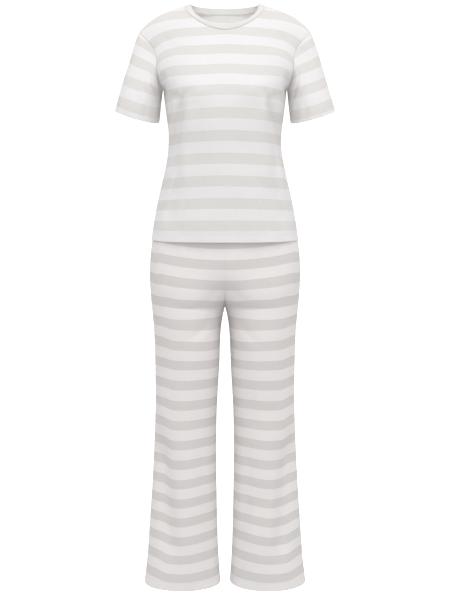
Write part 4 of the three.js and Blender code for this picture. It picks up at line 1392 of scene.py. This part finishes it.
class PYJAMA_OT_body(bpy.types.Operator):
    """Make the front and the back of the top"""

    bl_idname = "pyjama.body"
    bl_label = "Top front and back"

    def execute(self, context):
        material = jersey_for(context.scene.pyjama_cloth, "top")
        for word, panel, creases, tone in (
            ("front", top_front, TOP_FRONT_CREASES, 0.3),
            ("back", top_back, TOP_BACK_CREASES, 1.9),
        ):
            piece, stitches = top_panel(f"{word}_of_top", f"top_{word}", panel, creases, material, tone)
        return {"FINISHED"}


class PYJAMA_OT_sleeves(bpy.types.Operator):
    """Make the two sleeves"""

    bl_idname = "pyjama.sleeves"
    bl_label = "Sleeves"

    def execute(self, context):
        material = jersey_for(context.scene.pyjama_cloth, "top")
        for side, word in ((1, "right"), (-1, "left")):
            piece, stitches = sleeve(f"{word}_sleeve", f"sleeve_{word}", side, material, 0.8)
        return {"FINISHED"}


class PYJAMA_OT_neckband(bpy.types.Operator):
    """Make the neck binding"""

    bl_idname = "pyjama.neckband"
    bl_label = "Neck binding"

    def execute(self, context):
        cloth = context.scene.pyjama_cloth
        material = jersey("cotton_jersey_binding", plain=tuple(cloth.binding), wale=0.0016, strength=0.3)
        piece = neckband("neck_binding", "neckband", material)
        return {"FINISHED"}


class PYJAMA_OT_trousers(bpy.types.Operator):
    """Make the four trouser panels"""

    bl_idname = "pyjama.trousers"
    bl_label = "Trousers"

    def execute(self, context):
        material = jersey_for(context.scene.pyjama_cloth, "trousers")
        for side, word in ((1, "right"), (-1, "left")):
            for panel, face in ((leg_front, "front"), (leg_back, "back")):
                front = face == "front"
                piece, stitches = trouser_panel(
                    f"{word}_{face}_of_trousers", f"trouser_{face}_{word}", panel, side,
                    LEG_FRONT_CREASES if front else LEG_BACK_CREASES,
                    material, 0.6 + side + (0 if front else 2.3),
                )
        return {"FINISHED"}


class PYJAMA_OT_waistband(bpy.types.Operator):
    """Make the elastic waist in its casing"""

    bl_idname = "pyjama.waistband"
    bl_label = "Waistband"

    def execute(self, context):
        cloth = context.scene.pyjama_cloth
        material = jersey("cotton_jersey_casing", plain=tuple(cloth.leg_white_colour))
        piece = waistband("waist_casing", "waistband", material)
        return {"FINISHED"}


class PYJAMA_PT_pieces(bpy.types.Panel):
    """Lists the pieces in the sidebar"""

    bl_label = "Pyjama set"
    bl_space_type = "VIEW_3D"
    bl_region_type = "UI"
    bl_category = "Pyjamas"

    def draw(self, context):
        layout = self.layout
        for group in (context.scene.pyjama_cloth, context.scene.pyjama_stage):
            for name in group.__annotations__:
                layout.prop(group, name)
        for operator in OPERATORS:
            layout.operator(operator.bl_idname)


OPERATORS = (
    PYJAMA_OT_stage,
    PYJAMA_OT_waistband,
    PYJAMA_OT_trousers,
    PYJAMA_OT_body,
    PYJAMA_OT_sleeves,
    PYJAMA_OT_neckband,
)
CLASSES = (PyjamaCloth, PyjamaStage, *OPERATORS, PYJAMA_PT_pieces)


def register():
    for made in CLASSES:
        bpy.utils.register_class(made)
    bpy.types.Scene.pyjama_cloth = PointerProperty(type=PyjamaCloth)
    bpy.types.Scene.pyjama_stage = PointerProperty(type=PyjamaStage)


def unregister():
    del bpy.types.Scene.pyjama_stage
    del bpy.types.Scene.pyjama_cloth
    for made in reversed(CLASSES):
        bpy.utils.unregister_class(made)


def main():
    register()
    bpy.ops.pyjama.stage()
    bpy.ops.pyjama.waistband()
    bpy.ops.pyjama.trousers()
    bpy.ops.pyjama.body()
    bpy.ops.pyjama.sleeves()
    bpy.ops.pyjama.neckband()


if __name__ == "__main__":
    main()
